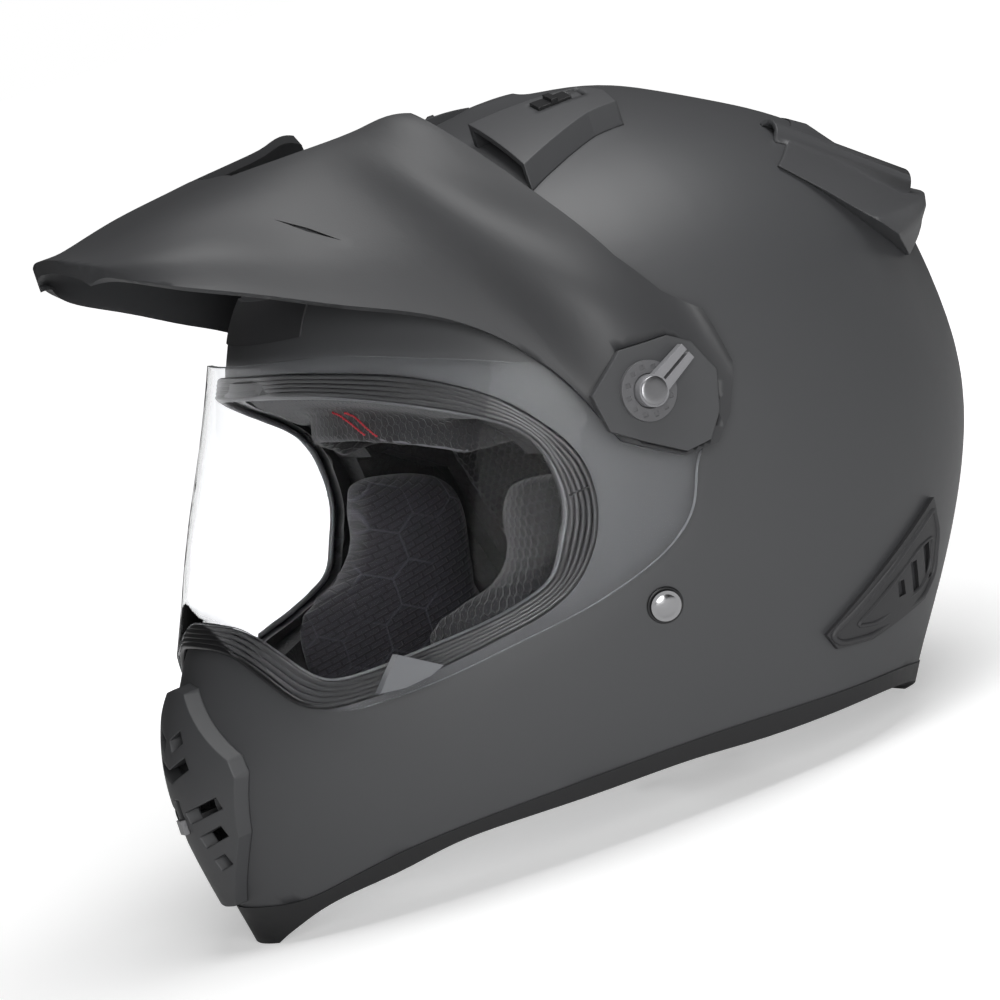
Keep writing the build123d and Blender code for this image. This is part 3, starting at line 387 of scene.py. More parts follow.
def grain_group():
    """Fine moulded grain with a slow change of shade and gloss."""
    tree, ins, outs = group("moulded_grain", [
        ("Place", "Vector", None), ("Colour", "Color", (0.1, 0.1, 0.1, 1)), ("Scale", "Float", 900.0),
        ("Shade", "Float", 0.12), ("Gloss", "Float", 0.45), ("Gloss change", "Float", 0.08),
        ("Relief", "Float", 0.15)],
        [("Colour", "Color"), ("Roughness", "Float"), ("Normal", "Vector")])
    fine = node(tree, "TexNoise", [("Vector", ins.outputs["Place"]), ("Scale", ins.outputs["Scale"]),
                                   ("Detail", 3.0)])
    slow = node(tree, "TexNoise", [("Vector", ins.outputs["Place"]), ("Scale", 14.0), ("Detail", 2.0)])
    centred = node(tree, "Math", [(0, slow.outputs["Fac"]), (1, 0.5)], operation="SUBTRACT")
    shade = node(tree, "Math", [(0, centred.outputs[0]), (1, ins.outputs["Shade"]), (2, 1.0)],
                 operation="MULTIPLY_ADD")
    tint = node(tree, "VectorMath", [(0, ins.outputs["Colour"]), (1, shade.outputs[0])], operation="MULTIPLY")
    gloss = node(tree, "Math", [(0, centred.outputs[0]), (1, ins.outputs["Gloss change"]),
                                (2, ins.outputs["Gloss"])], operation="MULTIPLY_ADD")
    bump = node(tree, "Bump", [("Height", fine.outputs["Fac"]), ("Strength", ins.outputs["Relief"]),
                               ("Distance", 0.0002)])
    tree.links.new(tint.outputs[0], outs.inputs["Colour"])
    tree.links.new(gloss.outputs[0], outs.inputs["Roughness"])
    tree.links.new(bump.outputs[0], outs.inputs["Normal"])
    return tree


def cell_group():
    """Six sided cells on two coordinates: 0 at a cell's middle and 1 at its edge."""
    tree, ins, outs = group("six_sided_cells", [("Place", "Vector", None), ("Size", "Float", 0.004)],
                            [("Edge", "Float")])
    over = node(tree, "Math", [(0, 1.0), (1, ins.outputs["Size"])], operation="DIVIDE")
    scaled = node(tree, "VectorMath", [(0, ins.outputs["Place"])], operation="SCALE")
    tree.links.new(over.outputs[0], scaled.inputs["Scale"])
    period, half = (1.0, 1.7320508, 1.0), (0.5, 0.8660254, 0.0)
    nearest = []
    for shift in ((0.0, 0.0, 0.0), half):
        moved = node(tree, "VectorMath", [(0, scaled.outputs[0]), (1, shift)], operation="SUBTRACT")
        wrapped = node(tree, "VectorMath", [(0, moved.outputs[0]), (1, period), (2, (0, 0, 0))],
                       operation="WRAP")
        centred = node(tree, "VectorMath", [(0, wrapped.outputs[0]), (1, half)], operation="SUBTRACT")
        flat = node(tree, "VectorMath", [(0, centred.outputs[0]), (1, (1.0, 1.0, 0.0))], operation="MULTIPLY")
        nearest.append(node(tree, "VectorMath", [(0, flat.outputs[0])], operation="ABSOLUTE"))
    edges = []
    for point in nearest:
        split = node(tree, "SeparateXYZ", [(0, point.outputs[0])])
        lean = node(tree, "VectorMath", [(0, point.outputs[0]), (1, (0.5, 0.8660254, 0.0))],
                    operation="DOT_PRODUCT")
        edges.append(node(tree, "Math", [(0, split.outputs[0]), (1, lean.outputs["Value"])],
                          operation="MAXIMUM"))
    least = node(tree, "Math", [(0, edges[0].outputs[0]), (1, edges[1].outputs[0])], operation="MINIMUM")
    edge = node(tree, "Math", [(0, least.outputs[0]), (1, 2.0)], operation="MULTIPLY")
    tree.links.new(edge.outputs[0], outs.inputs["Edge"])
    return tree


def new_material(name, roughness, metallic=0.0, sheen=0.0, specular=0.5):
    """A material with a Principled shader, its plain values set on the shader."""
    made = bpy.data.materials.new(name)
    made.use_nodes = True
    shader = made.node_tree.nodes["Principled BSDF"]
    shader.inputs["Roughness"].default_value = roughness
    shader.inputs["Metallic"].default_value = metallic
    shader.inputs["Sheen Weight"].default_value = sheen
    shader.inputs["Specular IOR Level"].default_value = specular
    return made, made.node_tree, shader


def grained(name, colour, gloss, scale=900.0, shade=0.12, change=0.08, relief=0.15, **plain):
    """A moulded or painted finish from the shared grain."""
    made, tree, shader = new_material(name, gloss, **plain)
    place = node(tree, "TexCoord")
    use = node(tree, "Group")
    use.node_tree = bpy.data.node_groups["moulded_grain"]
    tree.links.new(place.outputs["Object"], use.inputs["Place"])
    for label, value in (("Colour", (*colour, 1)), ("Scale", scale), ("Shade", shade), ("Gloss", gloss),
                         ("Gloss change", change), ("Relief", relief)):
        use.inputs[label].default_value = value
    tree.links.new(use.outputs["Colour"], shader.inputs["Base Color"])
    tree.links.new(use.outputs["Roughness"], shader.inputs["Roughness"])
    tree.links.new(use.outputs["Normal"], shader.inputs["Normal"])
    return made


def rounded_edge(made, radius):
    """Softens a moulded piece's edges in its shading."""
    tree = made.node_tree
    edge = node(tree, "Bevel", [("Radius", radius)], samples=6)
    shader = tree.nodes["Principled BSDF"]
    bump = node(tree, "Bump", [("Strength", 0.12), ("Distance", 0.0002)])
    grain = node(tree, "TexNoise", [("Scale", 1400.0)])
    place = next(n for n in tree.nodes if n.type == "TEX_COORD")
    tree.links.new(place.outputs["Object"], grain.inputs["Vector"])
    tree.links.new(grain.outputs["Fac"], bump.inputs["Height"])
    tree.links.new(edge.outputs[0], bump.inputs["Normal"])
    tree.links.new(bump.outputs[0], shader.inputs["Normal"])
    return made


def celled(name, colour, size, ridge, gloss=0.85, depth=0.0006, sheen=0.15):
    """Cloth with a pattern of six sided cells."""
    made, tree, shader = new_material(name, gloss, sheen=sheen)
    shader.inputs["Sheen Roughness"].default_value = 0.45
    place = node(tree, "TexCoord")
    split = node(tree, "SeparateXYZ", [(0, place.outputs["Object"])])
    total = node(tree, "Math", [(0, split.outputs["X"]), (1, split.outputs["Y"])], operation="ADD")
    join = node(tree, "CombineXYZ", [("X", total.outputs[0]), ("Y", split.outputs["Z"])])
    cells = node(tree, "Group")
    cells.node_tree = bpy.data.node_groups["six_sided_cells"]
    cells.inputs["Size"].default_value = size
    tree.links.new(join.outputs[0], cells.inputs["Place"])
    wall = node(tree, "MapRange", [("Value", cells.outputs["Edge"]), ("From Min", 1 - ridge),
                                   ("From Max", 1.0)], interpolation_type="SMOOTHSTEP")
    nap = node(tree, "TexNoise", [("Vector", place.outputs["Object"]), ("Scale", 1600.0), ("Detail", 4.0)])
    mix = node(tree, "Mix", data_type="RGBA")
    tree.links.new(wall.outputs["Result"], mix.inputs["Factor"])
    mix.inputs["A"].default_value = (*colour, 1)
    mix.inputs["B"].default_value = (*[c * 1.9 for c in colour], 1)
    tint = node(tree, "Mix", data_type="RGBA", blend_type="MULTIPLY")
    tint.inputs["Factor"].default_value = 0.5
    tree.links.new(mix.outputs["Result"], tint.inputs["A"])
    tree.links.new(nap.outputs["Color"], tint.inputs["B"])
    bright = node(tree, "VectorMath", [(0, tint.outputs["Result"]), (1, (1.5, 1.5, 1.5))],
                  operation="MULTIPLY")
    tree.links.new(bright.outputs[0], shader.inputs["Base Color"])
    height = node(tree, "Math", [(0, nap.outputs["Fac"]), (1, 0.25), (2, wall.outputs["Result"])],
                  operation="MULTIPLY_ADD")
    bump = node(tree, "Bump", [("Height", height.outputs[0]), ("Strength", 0.9), ("Distance", depth)])
    tree.links.new(bump.outputs[0], shader.inputs["Normal"])
    return made


def dashed(name, colour):
    """Cheek cloth: rows of short dashes and a few large six sided lines."""
    made, tree, shader = new_material(name, 0.85, sheen=0.15)
    place = node(tree, "TexCoord")
    split = node(tree, "SeparateXYZ", [(0, place.outputs["Object"])])
    join = node(tree, "CombineXYZ", [("X", split.outputs["Y"]), ("Y", split.outputs["Z"])])
    turned = node(tree, "Mapping", [("Vector", join.outputs[0]), ("Rotation", (0, 0, math.radians(-8)))])
    rows = node(tree, "TexBrick", [("Vector", turned.outputs[0]), ("Scale", 1.0), ("Mortar Size", 0.0006),
                                   ("Mortar Smooth", 0.6), ("Brick Width", 0.0068), ("Row Height", 0.0026)])
    cells = node(tree, "Group")
    cells.node_tree = bpy.data.node_groups["six_sided_cells"]
    cells.inputs["Size"].default_value = 0.019
    tree.links.new(join.outputs[0], cells.inputs["Place"])
    line = node(tree, "MapRange", [("Value", cells.outputs["Edge"]), ("From Min", 0.93), ("From Max", 0.99)],
                interpolation_type="SMOOTHSTEP")
    where = node(tree, "TexNoise", [("Vector", place.outputs["Object"]), ("Scale", 22.0), ("Detail", 0.0)])
    some = node(tree, "MapRange", [("Value", where.outputs["Fac"]), ("From Min", 0.5), ("From Max", 0.6)])
    line = node(tree, "Math", [(0, line.outputs["Result"]), (1, some.outputs["Result"])],
                operation="MULTIPLY")
    nap = node(tree, "TexNoise", [("Vector", place.outputs["Object"]), ("Scale", 1600.0), ("Detail", 4.0)])
    dark = node(tree, "Mix", data_type="RGBA")
    tree.links.new(rows.outputs["Fac"], dark.inputs["Factor"])
    dark.inputs["A"].default_value = (*colour, 1)
    dark.inputs["B"].default_value = (*[c * 0.45 for c in colour], 1)
    pale = node(tree, "Mix", data_type="RGBA")
    tree.links.new(line.outputs[0], pale.inputs["Factor"])
    tree.links.new(dark.outputs["Result"], pale.inputs["A"])
    pale.inputs["B"].default_value = (*[c * 2.2 for c in colour], 1)
    tree.links.new(pale.outputs["Result"], shader.inputs["Base Color"])
    height = node(tree, "Math", [(0, line.outputs[0]), (1, rows.outputs["Fac"])], operation="SUBTRACT")
    height = node(tree, "Math", [(0, nap.outputs["Fac"]), (1, 0.4), (2, height.outputs[0])],
                  operation="MULTIPLY_ADD")
    bump = node(tree, "Bump", [("Height", height.outputs[0]), ("Strength", 0.8), ("Distance", 0.0004)])
    tree.links.new(bump.outputs[0], shader.inputs["Normal"])
    return made


def woven(name, colour):
    """Webbing: ribs along the strap and fine cross threads."""
    made, tree, shader = new_material(name, 0.7, sheen=0.2)
    place = node(tree, "TexCoord")
    ribs = node(tree, "TexWave", [("Vector", place.outputs["Object"]), ("Scale", 170.0)],
                wave_type="BANDS", bands_direction="Y")
    cross = node(tree, "TexWave", [("Vector", place.outputs["Object"]), ("Scale", 240.0)],
                 wave_type="BANDS", bands_direction="DIAGONAL")
    both = node(tree, "Math", [(0, ribs.outputs["Fac"]), (1, cross.outputs["Fac"])], operation="MULTIPLY")
    ramp = node(tree, "Mix", data_type="RGBA")
    tree.links.new(both.outputs[0], ramp.inputs["Factor"])
    ramp.inputs["A"].default_value = (*[c * 0.6 for c in colour], 1)
    ramp.inputs["B"].default_value = (*[c * 1.7 for c in colour], 1)
    bump = node(tree, "Bump", [("Height", both.outputs[0]), ("Strength", 0.7), ("Distance", 0.0004)])
    tree.links.new(ramp.outputs["Result"], shader.inputs["Base Color"])
    tree.links.new(bump.outputs[0], shader.inputs["Normal"])
    return made


def foam_beads(name, colour):
    """Expanded foam: pressed beads."""
    made, tree, shader = new_material(name, 0.75)
    place = node(tree, "TexCoord")
    beads = node(tree, "TexVoronoi", [("Vector", place.outputs["Object"]), ("Scale", 260.0)],
                 feature="DISTANCE_TO_EDGE")
    lit = node(tree, "MapRange", [("Value", beads.outputs["Distance"]), ("From Max", 0.12)],
               interpolation_type="SMOOTHSTEP")
    ramp = node(tree, "Mix", data_type="RGBA")
    tree.links.new(lit.outputs["Result"], ramp.inputs["Factor"])
    ramp.inputs["A"].default_value = (*[c * 0.5 for c in colour], 1)
    ramp.inputs["B"].default_value = (*colour, 1)
    bump = node(tree, "Bump", [("Height", lit.outputs["Result"]), ("Strength", 0.5), ("Distance", 0.0004)])
    tree.links.new(ramp.outputs["Result"], shader.inputs["Base Color"])
    tree.links.new(bump.outputs[0], shader.inputs["Normal"])
    return made


def clear_sheet(name):
    """Thin clear sheet with very faint clouds of tint."""
    made, tree, shader = new_material(name, 0.0, specular=0.5)
    shader.inputs["Transmission Weight"].default_value = 1.0
    shader.inputs["IOR"].default_value = 1.07
    place = node(tree, "TexCoord")
    haze = node(tree, "TexNoise", [("Vector", place.outputs["Object"]), ("Scale", 25.0), ("Detail", 3.0)])
    tint = node(tree, "Mix", [("Factor", haze.outputs["Fac"])], data_type="RGBA")
    tint.inputs["A"].default_value = (0.96, 0.97, 0.98, 1)
    tint.inputs["B"].default_value = (0.99, 0.99, 1.0, 1)
    tree.links.new(tint.outputs["Result"], shader.inputs["Base Color"])
    return made


def brushed(name, colour, gloss):
    """Turned or brushed metal."""
    made, tree, shader = new_material(name, gloss, metallic=1.0)
    place = node(tree, "TexCoord")
    stretch = node(tree, "Mapping", [("Vector", place.outputs["Object"]), ("Scale", (1.0, 1.0, 14.0))])
    lines = node(tree, "TexNoise", [("Vector", stretch.outputs[0]), ("Scale", 260.0), ("Detail", 3.0)])
    rough = node(tree, "MapRange", [("Value", lines.outputs["Fac"]), ("To Min", gloss * 0.7),
                                    ("To Max", gloss * 1.4)])
    ramp = node(tree, "Mix", data_type="RGBA")
    tree.links.new(lines.outputs["Fac"], ramp.inputs["Factor"])
    ramp.inputs["A"].default_value = (*[c * 0.85 for c in colour], 1)
    ramp.inputs["B"].default_value = (*colour, 1)
    tree.links.new(ramp.outputs["Result"], shader.inputs["Base Color"])
    tree.links.new(rough.outputs["Result"], shader.inputs["Roughness"])
    return made


def make_finishes():
    """Every finish of the helmet, by name."""
    scene = bpy.context.scene
    tones = scene.helmet_colours
    grain_group()
    cell_group()
    paint, plastic, rubber = tuple(tones.paint), tuple(tones.plastic), tuple(tones.rubber)
    cloth, cheek = tuple(tones.cloth), tuple(tones.cheek_cloth)
    made = {
        "shell paint": grained("shell paint", paint, 0.46, 1500, 0.05, 0.05, 0.10, specular=0.45),
        # The peak gets the shell's paint darkened to 0.72: painted shade that keeps the peak darker than the
        # shell under the same lamps
        "peak paint": grained("peak paint", tuple(c * 0.72 for c in paint), 0.52, 1500, 0.05, 0.05, 0.12,
                              specular=0.40),
        "vent paint": rounded_edge(grained("vent paint", paint, 0.48, 1500, 0.05, 0.05, 0.10), 0.0009),
        "black plastic": rounded_edge(grained("black plastic", plastic, 0.38, 1100, 0.1, 0.08, 0.1), 0.0006),
        "dull plastic": grained("dull plastic", (0.03, 0.03, 0.032), 0.55, 1100, 0.1, 0.08, 0.15),
        "edge rubber": grained("edge rubber", rubber, 0.42, 700, 0.12, 0.1, 0.12),
        "seal rubber": grained("seal rubber", rubber, 0.30, 900, 0.12, 0.08, 0.08),
        "grey rubber": grained("grey rubber", (0.10, 0.10, 0.105), 0.4, 900, 0.1, 0.1, 0.1),
        "foam": foam_beads("foam", (0.02, 0.02, 0.021)),
        "lining cloth": celled("lining cloth", cloth, 0.0034, 0.34),
        "brow cloth": celled("brow cloth", cloth, 0.0042, 0.22, depth=0.0003),
        "cheek cloth": dashed("cheek cloth", cheek),
        "rim cloth": celled("rim cloth", cloth, 0.0044, 0.30),
        "clear sheet": clear_sheet("clear sheet"),
        # The clear sheet's rim faces get an opaque grey, fairly glossy finish: a painted highlight standing
        # in for the bright glints along the shield's edges
        "sheet edge": grained("sheet edge", (0.30, 0.31, 0.32), 0.2, 900, 0.05, 0.05, 0.02),
        "grey plastic": grained("grey plastic", (0.16, 0.165, 0.175), 0.3, 900, 0.08, 0.08, 0.08),
        "lever plastic": rounded_edge(grained("lever plastic", (0.21, 0.21, 0.22), 0.35), 0.0004),
        "dial plastic": rounded_edge(grained("dial plastic", (0.11, 0.11, 0.115), 0.35), 0.0003),
        "dark line": grained("dark line", (0.004, 0.004, 0.004), 0.6),
        "steel": brushed("steel", (0.30, 0.30, 0.31), 0.34),
        "chrome": brushed("chrome", (0.42, 0.42, 0.43), 0.20),
        "webbing": woven("webbing", (0.02, 0.02, 0.022)),
        "thread": grained("thread", tuple(tones.thread), 0.6, 3000, 0.2, 0.1, 0.6),
        "piping": grained("piping", (0.11, 0.11, 0.12), 0.6, 2200, 0.2, 0.1, 0.5),
    }
    return made


finishes = {}


def finish(name):
    if not finishes:
        finishes.update(make_finishes())
    return finishes[name]


# Operators

class HELMET_OT_stage(bpy.types.Operator):
    """Camera, floor, lamps and room"""
    bl_idname = "helmet.stage"
    bl_label = "Stage"

    def execute(self, context):
        scene = context.scene
        scene.view_settings.view_transform = "Standard"
        light = scene.helmet_light
        self.camera(scene)
        self.floor()
        self.room(scene, light.room)
        middle = Vector(LAMP_AIM)
        for name, place, size in LAMPS:
            self.lamp(name, place, middle, size, getattr(light, name))
        return {"FINISHED"}

    def camera(self, scene):
        turn, lean = math.radians(TURN_DEG), math.radians(PITCH_DEG)
        away = Vector((math.cos(turn), -math.sin(turn), 0))
        up = Vector((0, 0, 1))
        pitch = Matrix.Rotation(-lean, 4, "X")
        away, up = pitch @ away, pitch @ up
        target = Vector(TARGET)
        data = bpy.data.cameras.new("camera")
        data.sensor_width = SENSOR_MM
        data.lens = LENS_MM
        data.clip_start = 0.05
        camera = bpy.data.objects.new("camera", data)
        scene.collection.objects.link(camera)
        right = up.cross(away).normalized()
        camera.matrix_world = Matrix.Translation(target + away * DISTANCE) @ Matrix(
            (right, up, away)).transposed().to_4x4()
        scene.camera = camera

    def floor(self):
        bm = bmesh.new()
        bmesh.ops.create_grid(bm, x_segments=2, y_segments=2, size=12)
        bmesh.ops.translate(bm, verts=bm.verts, vec=(0, 0, -0.0002))
        piece = from_bmesh("floor", bm)
        made, tree, shader = new_material("pale floor", 0.9, specular=0.0)
        shader.inputs["Base Color"].default_value = (0.8, 0.8, 0.8, 1)
        path = node(tree, "LightPath")
        seen = node(tree, "Math", [(0, path.outputs["Is Camera Ray"]),
                                   (1, path.outputs["Is Transmission Ray"])], operation="MAXIMUM")
        place = node(tree, "TexCoord")
        far = node(tree, "VectorMath", [(0, place.outputs["Object"])], operation="LENGTH")
        glow = node(tree, "MapRange", [("Value", far.outputs["Value"]), ("From Min", 0.25),
                                       ("From Max", 0.75), ("To Min", 0.42), ("To Max", 1.0)],
                    interpolation_type="SMOOTHSTEP")
        white = node(tree, "Emission", [("Color", (1, 1, 1, 1)), ("Strength", glow.outputs["Result"])])
        mix = node(tree, "AddShader")
        tree.links.new(shader.outputs[0], mix.inputs[0])
        tree.links.new(white.outputs[0], mix.inputs[1])
        pick = node(tree, "MixShader")
        tree.links.new(seen.outputs[0], pick.inputs[0])
        tree.links.new(shader.outputs[0], pick.inputs[1])
        tree.links.new(mix.outputs[0], pick.inputs[2])
        tree.links.new(pick.outputs[0], tree.nodes["Material Output"].inputs[0])
        piece.data.materials.append(made)

    def room(self, scene, strength):
        world = bpy.data.worlds.new("room")
        world.use_nodes = True
        scene.world = world
        tree = world.node_tree
        back = tree.nodes["Background"]
        back.inputs["Color"].default_value = (1, 1, 1, 1)
        back.inputs["Strength"].default_value = strength
        white = node(tree, "Background", [("Color", (1, 1, 1, 1)), ("Strength", 1.0)])
        path = node(tree, "LightPath")
        seen = node(tree, "Math", [(0, path.outputs["Is Camera Ray"]),
                                   (1, path.outputs["Is Transmission Ray"])], operation="MAXIMUM")
        pick = node(tree, "MixShader")
        tree.links.new(seen.outputs[0], pick.inputs[0])
        tree.links.new(back.outputs[0], pick.inputs[1])
        tree.links.new(white.outputs[0], pick.inputs[2])
        tree.links.new(pick.outputs[0], tree.nodes["World Output"].inputs[0])

    def lamp(self, name, place, target, size, power):
        data = bpy.data.lights.new(name, "AREA")
        data.shape = "DISK"
        data.size = size
        data.energy = power
        lamp = bpy.data.objects.new(name, data)
        bpy.context.scene.collection.objects.link(lamp)
        away = (Vector(place) - target).normalized()
        lamp.matrix_world = Matrix.Translation(place) @ away.to_track_quat("Z", "Y").to_matrix().to_4x4()


class HELMET_OT_shell(bpy.types.Operator):
    """Painted shell, its edge trim, brow plate and rear spoiler"""
    bl_idname = "helmet.shell"
    bl_label = "Shell"

    def execute(self, context):
        for source, name, look, slot in (
                ("outer_shell", "shell_skin", "shell paint", "shell"),
                ("base_trim", "edge_trim", "edge rubber", "trim"),
                ("brow_plate", "brow_badge_seat", "dull plastic", "black"),
                ("rear_spoiler", "spoiler_skin", "vent paint", "shell")):
            dress(merged(source, name), "helmet", finish(look), source, slot=slot)
        return {"FINISHED"}


class HELMET_OT_peak(bpy.types.Operator):
    """Peak with its arms"""
    bl_idname = "helmet.peak"
    bl_label = "Peak"

    def execute(self, context):
        # The peak's finish is the shell's paint with painted shade, darker by a fixed share
        dress(merged("peak", "peak_skin"), "peak_assembly", finish("peak paint"), "peak", slot="peak")
        for side in ("left", "right"):
            dress(merged("peak_cover_" + side, "arm_cover_" + side), "peak_assembly",
                  finish("vent paint"), "peak_cover_" + side, slot="peak")
            finish_node("dial_ring_" + side, finish("dial plastic"))
            finish_node("release_lever_" + side, finish("lever plastic"))
            finish_node("pivot_pin_" + side, finish("steel"))
            self.disc(side)
        return {"FINISHED"}

    def disc(self, side):
        """The satin disc on a release lever's hub."""
        sign = 1 if side == "left" else -1
        axis = Vector((0, -PIVOT[0], PIVOT[1])) * MM
        reach = [abs(v.co.x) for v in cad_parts["release_lever_" + side].data.vertices
                 if (v.co.yz - axis.yz).length < HUB_REACH]
        bm = bmesh.new()
        add_dome(bm, axis + Vector((sign * (max(reach) - 0.0001), 0, 0)), Vector((sign, 0, 0)),
                 DISC_RADIUS, DISC_RISE, power=6.0)
        dress(from_bmesh("lever_disc_" + side, bm), "lever_" + side, finish("steel"), slot="steel")


class HELMET_OT_vents(bpy.types.Operator):
    """Top, rear and chin vents"""
    bl_idname = "helmet.vents"
    bl_label = "Vents"

    def execute(self, context):
        for side in ("left", "right"):
            dress(merged("top_vent_" + side, "vent_hood_" + side), "helmet", finish("vent paint"),
                  "top_vent_" + side, slot="peak")
            finish_node("top_vent_switch_" + side, finish("black plastic"))
            dress(merged("rear_side_vent_" + side, "outlet_frame_" + side), "helmet",
                  finish("dull plastic"), "rear_side_vent_" + side, slot="black")
            sign = 1 if side == "left" else -1
            for name, line, radius in (("rim", VENT_RIM, RIM_RADIUS), ("ridge", VENT_RIDGE, RIDGE_RADIUS)):
                loop = loop_on_form(line, sign, RIM_LIFT)
                dress(tube("outlet_%s_%s" % (name, side), [loop], radius, sides=4), "helmet",
                      finish("dull plastic"), slot="black")
        dress(merged("chin_mouthpiece", "chin_cover"), "helmet", finish("vent paint"),
              "chin_mouthpiece", slot="shell")
        for name, look in (("chin_filter", "lining cloth"), ("chin_shutter", "black plastic"),
                           ("chin_slider", "steel")):
            finish_node(name, finish(look))
        return {"FINISHED"}


class HELMET_OT_seal(bpy.types.Operator):
    """Ribbed rubber seal round the eyeport"""
    bl_idname = "helmet.seal"
    bl_label = "Eyeport seal"

    def execute(self, context):
        rib = context.scene.helmet_sizes.rib
        body = merged("eyeport_seal", "seal_body")
        bm = bmesh.new()
        bm.from_mesh(body.data)
        bm.normal_update()
        for vertex in bm.verts:
            vertex.co -= vertex.normal * rib
        bm.to_mesh(body.data)
        bm.free()
        dress(body, "helmet", finish("seal rubber"), "eyeport_seal", slot="seal")
        lines = [port_loop(share, RIB_LIFT) for share in RIB_SHARES]
        dress(tube("seal_ribs", lines, rib), "helmet", finish("seal rubber"), slot="seal")
        lip = tube("seal_lip", [port_loop(LIP_SHARE, LIP_LIFT)], rib * 0.8)
        dress(lip, "helmet", finish("grey rubber"), slot="seal")
        joints = [[Vector((side * across_at(f, z, JOINT_LIFT), -f, z)) * MM for f, z in SEAL_JOINT]
                  for side in (1, -1)]
        dress(tube("seal_joints", joints, JOINT_RADIUS, closed=False), "helmet", finish("dark line"),
              slot="seal")
        return {"FINISHED"}


class HELMET_OT_shield(bpy.types.Operator):
    """Clear shield, its tab and hubs"""
    bl_idname = "helmet.shield"
    bl_label = "Shield"

    def execute(self, context):
        sheet = dress(merged("clear_shield", "clear_sheet"), "shield_assembly", finish("clear sheet"),
                      "clear_shield", slot="clear")
        sheet.data.materials.append(finish("sheet edge"))
        # Faces turned neither outwards nor inwards are the sheet's rim; they get the painted edge highlight
        for face in sheet.data.polygons:
            outward = Vector((face.center.x, face.center.y * 0.8, 0)).normalized()
            face.material_index = 1 if abs(face.normal.dot(outward)) < 0.45 else 0
        finish_node("shield_tab", finish("grey plastic"))
        for side in ("left", "right"):
            finish_node("shield_hub_" + side, finish("dull plastic"))
        return {"FINISHED"}


class HELMET_OT_lining(bpy.types.Operator):
    """Foam liners and the padded lining"""
    bl_idname = "helmet.lining"
    bl_label = "Lining"

    def execute(self, context):
        for name in ("impact_liner", "chin_foam", "cheek_foam_left", "cheek_foam_right"):
            finish_node(name, finish("foam"))
        sizes = context.scene.helmet_sizes
        for source, name, look, swell in (
                ("crown_pad", "crown_lining", "lining cloth", 0.0),
                ("brow_pad", "brow_lining", "brow cloth", 0.0),
                ("neck_roll", "neck_cushion", "lining cloth", 0.003),
                ("cheek_pad_left", "cheek_cushion_left", "rim cloth", sizes.swell),
                ("cheek_pad_right", "cheek_cushion_right", "cheek cloth", sizes.swell)):
            piece = self.padded(source, name, sizes.voxel, swell)
            dress(piece, "helmet", finish(look), source, slot="comfort")
            if source == "brow_pad":
                self.stitch(piece)
        return {"FINISHED"}

    def stitch(self, pad):
        """Two rows of short red stitches let into the brow pad's face."""
        graph = bpy.context.evaluated_depsgraph_get()
        tree = BVHTree.FromObject(pad, graph)
        lines = []
        for start, end in STITCH_ROWS:
            first, last = (Vector((x, -f, z)) * MM for f, x, z in (start, end))
            for i in range(STITCHES):
                stitch = []
                for part in (0.0, 0.22, 0.44, 0.66):
                    place, normal = tree.find_nearest(first.lerp(last, (i + part) / STITCHES))[:2]
                    stitch.append(place + normal * THREAD_RADIUS * (1.2 if 0 < part < 0.66 else 0.2))
                lines.append(stitch)
        dress(tube("brow_stitches", lines, THREAD_RADIUS, closed=False), "helmet", finish("thread"),
              slot="comfort")
        places = [tree.find_nearest(Vector((x, -f, z)) * MM)[0] for f, x, z in PIPING]
        dress(tube("brow_piping", [even_line(places, 0.002, closed=False)], PIPING_RADIUS, closed=False),
              "helmet", finish("piping"), slot="comfort")

    def padded(self, source, name, voxel, swell):
        piece = merged(source, name, 180.0)
        rebuild = piece.modifiers.new("Rebuild", "REMESH")
        rebuild.mode = "VOXEL"
        rebuild.voxel_size = voxel if swell else voxel * 0.6
        rebuild.use_smooth_shade = True
        apply_modifiers(piece)
        bm = bmesh.new()
        bm.from_mesh(piece.data)
        for _ in range(4):
            bmesh.ops.smooth_vert(bm, verts=bm.verts, factor=0.5, use_axis_x=True, use_axis_y=True,
                                  use_axis_z=True)
        bm.to_mesh(piece.data)
        bm.free()
        if swell:
            self.stuff(piece, swell)
        finer = piece.modifiers.new("Finer", "SUBSURF")
        finer.levels = finer.render_levels = 1
        apply_modifiers(piece)
        return piece

    def stuff(self, piece, swell):
        scene = bpy.context.scene
        start = [v.co.copy() for v in piece.data.vertices]
        cloth = piece.modifiers.new("Stuffing", "CLOTH")
        cloth.settings.use_pressure = True
        cloth.settings.uniform_pressure_force = 4
        cloth.settings.quality = 5
        cloth.settings.effector_weights.gravity = 0
        for frame_number in range(1, 21):
            scene.frame_set(frame_number)
        apply_modifiers(piece)
        for vertex, was in zip(piece.data.vertices, start):
            move = vertex.co - was
            if move.length > swell:
                vertex.co = was + move.normalized() * swell
        scene.frame_set(1)


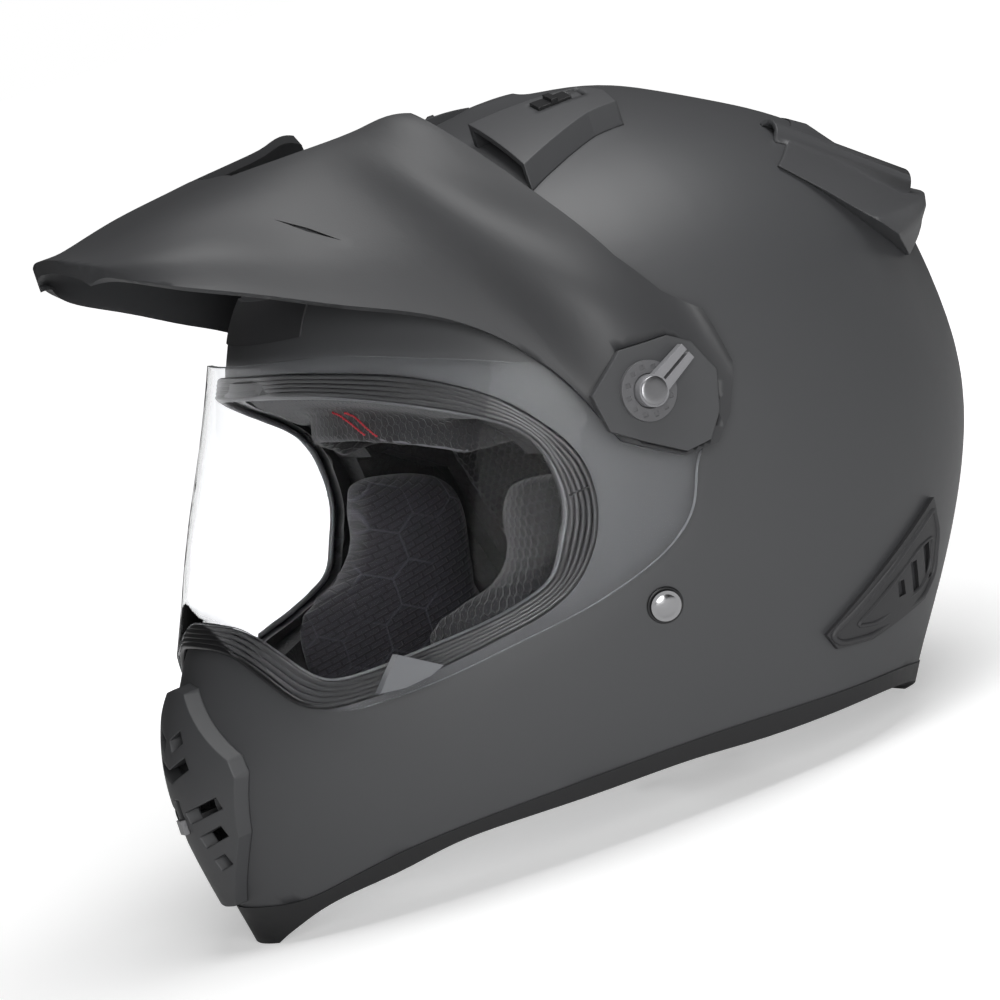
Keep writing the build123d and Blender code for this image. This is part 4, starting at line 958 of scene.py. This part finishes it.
class HELMET_OT_straps(bpy.types.Operator):
    """Chin straps, rings and rivets"""
    bl_idname = "helmet.straps"
    bl_label = "Straps"

    def execute(self, context):
        for name, look in (("strap_left", "webbing"), ("strap_right", "webbing"),
                           ("strap_rings", "steel"), ("strap_rivets", "chrome")):
            finish_node(name, finish(look))
        domes = bmesh.new()
        dark_rings = []
        for side in (1, -1):
            place, normal = facing(*RIVET, side)
            add_dome(domes, place + normal * 0.0002, normal, RIVET_RADIUS, RIVET_RISE)
            turn = normal.to_track_quat("Z", "Y")
            seat = place + normal * 0.0003
            dark_rings.append([seat + turn @ Vector((math.cos(a), math.sin(a), 0)) * DARK_RING_LINE
                            for a in (2 * math.pi * k / 64 for k in range(64))])
        dress(from_bmesh("rivet_domes", domes), "helmet", finish("chrome"), slot="rivet")
        # A thin dark ring in the edge rubber finish round each rivet dome
        dress(tube("rivet_washers", dark_rings, DARK_RING_RADIUS), "helmet", finish("edge rubber"), slot="rivet")
        return {"FINISHED"}


class HELMET_PT_panel(bpy.types.Panel):
    """Sizes, colours and steps of the helmet"""
    bl_label = "Helmet"
    bl_idname = "HELMET_PT_panel"
    bl_space_type = "VIEW_3D"
    bl_region_type = "UI"
    bl_category = "Helmet"

    def draw(self, context):
        scene = context.scene
        for settings in (scene.helmet_colours, scene.helmet_sizes, scene.helmet_light):
            box = self.layout.box()
            for key in settings.__annotations__:
                box.prop(settings, key)
        for step in STEPS:
            self.layout.operator(step.bl_idname)


STEPS = (HELMET_OT_stage, HELMET_OT_shell, HELMET_OT_peak, HELMET_OT_vents, HELMET_OT_seal,
         HELMET_OT_shield, HELMET_OT_lining, HELMET_OT_straps)
CLASSES = (HelmetColours, HelmetSizes, HelmetLight) + STEPS + (HELMET_PT_panel,)


def register():
    for made in CLASSES:
        bpy.utils.register_class(made)
    bpy.types.Scene.helmet_colours = bpy.props.PointerProperty(type=HelmetColours)
    bpy.types.Scene.helmet_sizes = bpy.props.PointerProperty(type=HelmetSizes)
    bpy.types.Scene.helmet_light = bpy.props.PointerProperty(type=HelmetLight)


def unregister():
    del bpy.types.Scene.helmet_light
    del bpy.types.Scene.helmet_sizes
    del bpy.types.Scene.helmet_colours
    for made in reversed(CLASSES):
        bpy.utils.unregister_class(made)


def main():
    register()
    bpy.ops.helmet.stage()
    bpy.ops.helmet.shell()
    bpy.ops.helmet.peak()
    bpy.ops.helmet.vents()
    bpy.ops.helmet.seal()
    bpy.ops.helmet.shield()
    bpy.ops.helmet.lining()
    bpy.ops.helmet.straps()


if __name__ == "__main__":
    main()
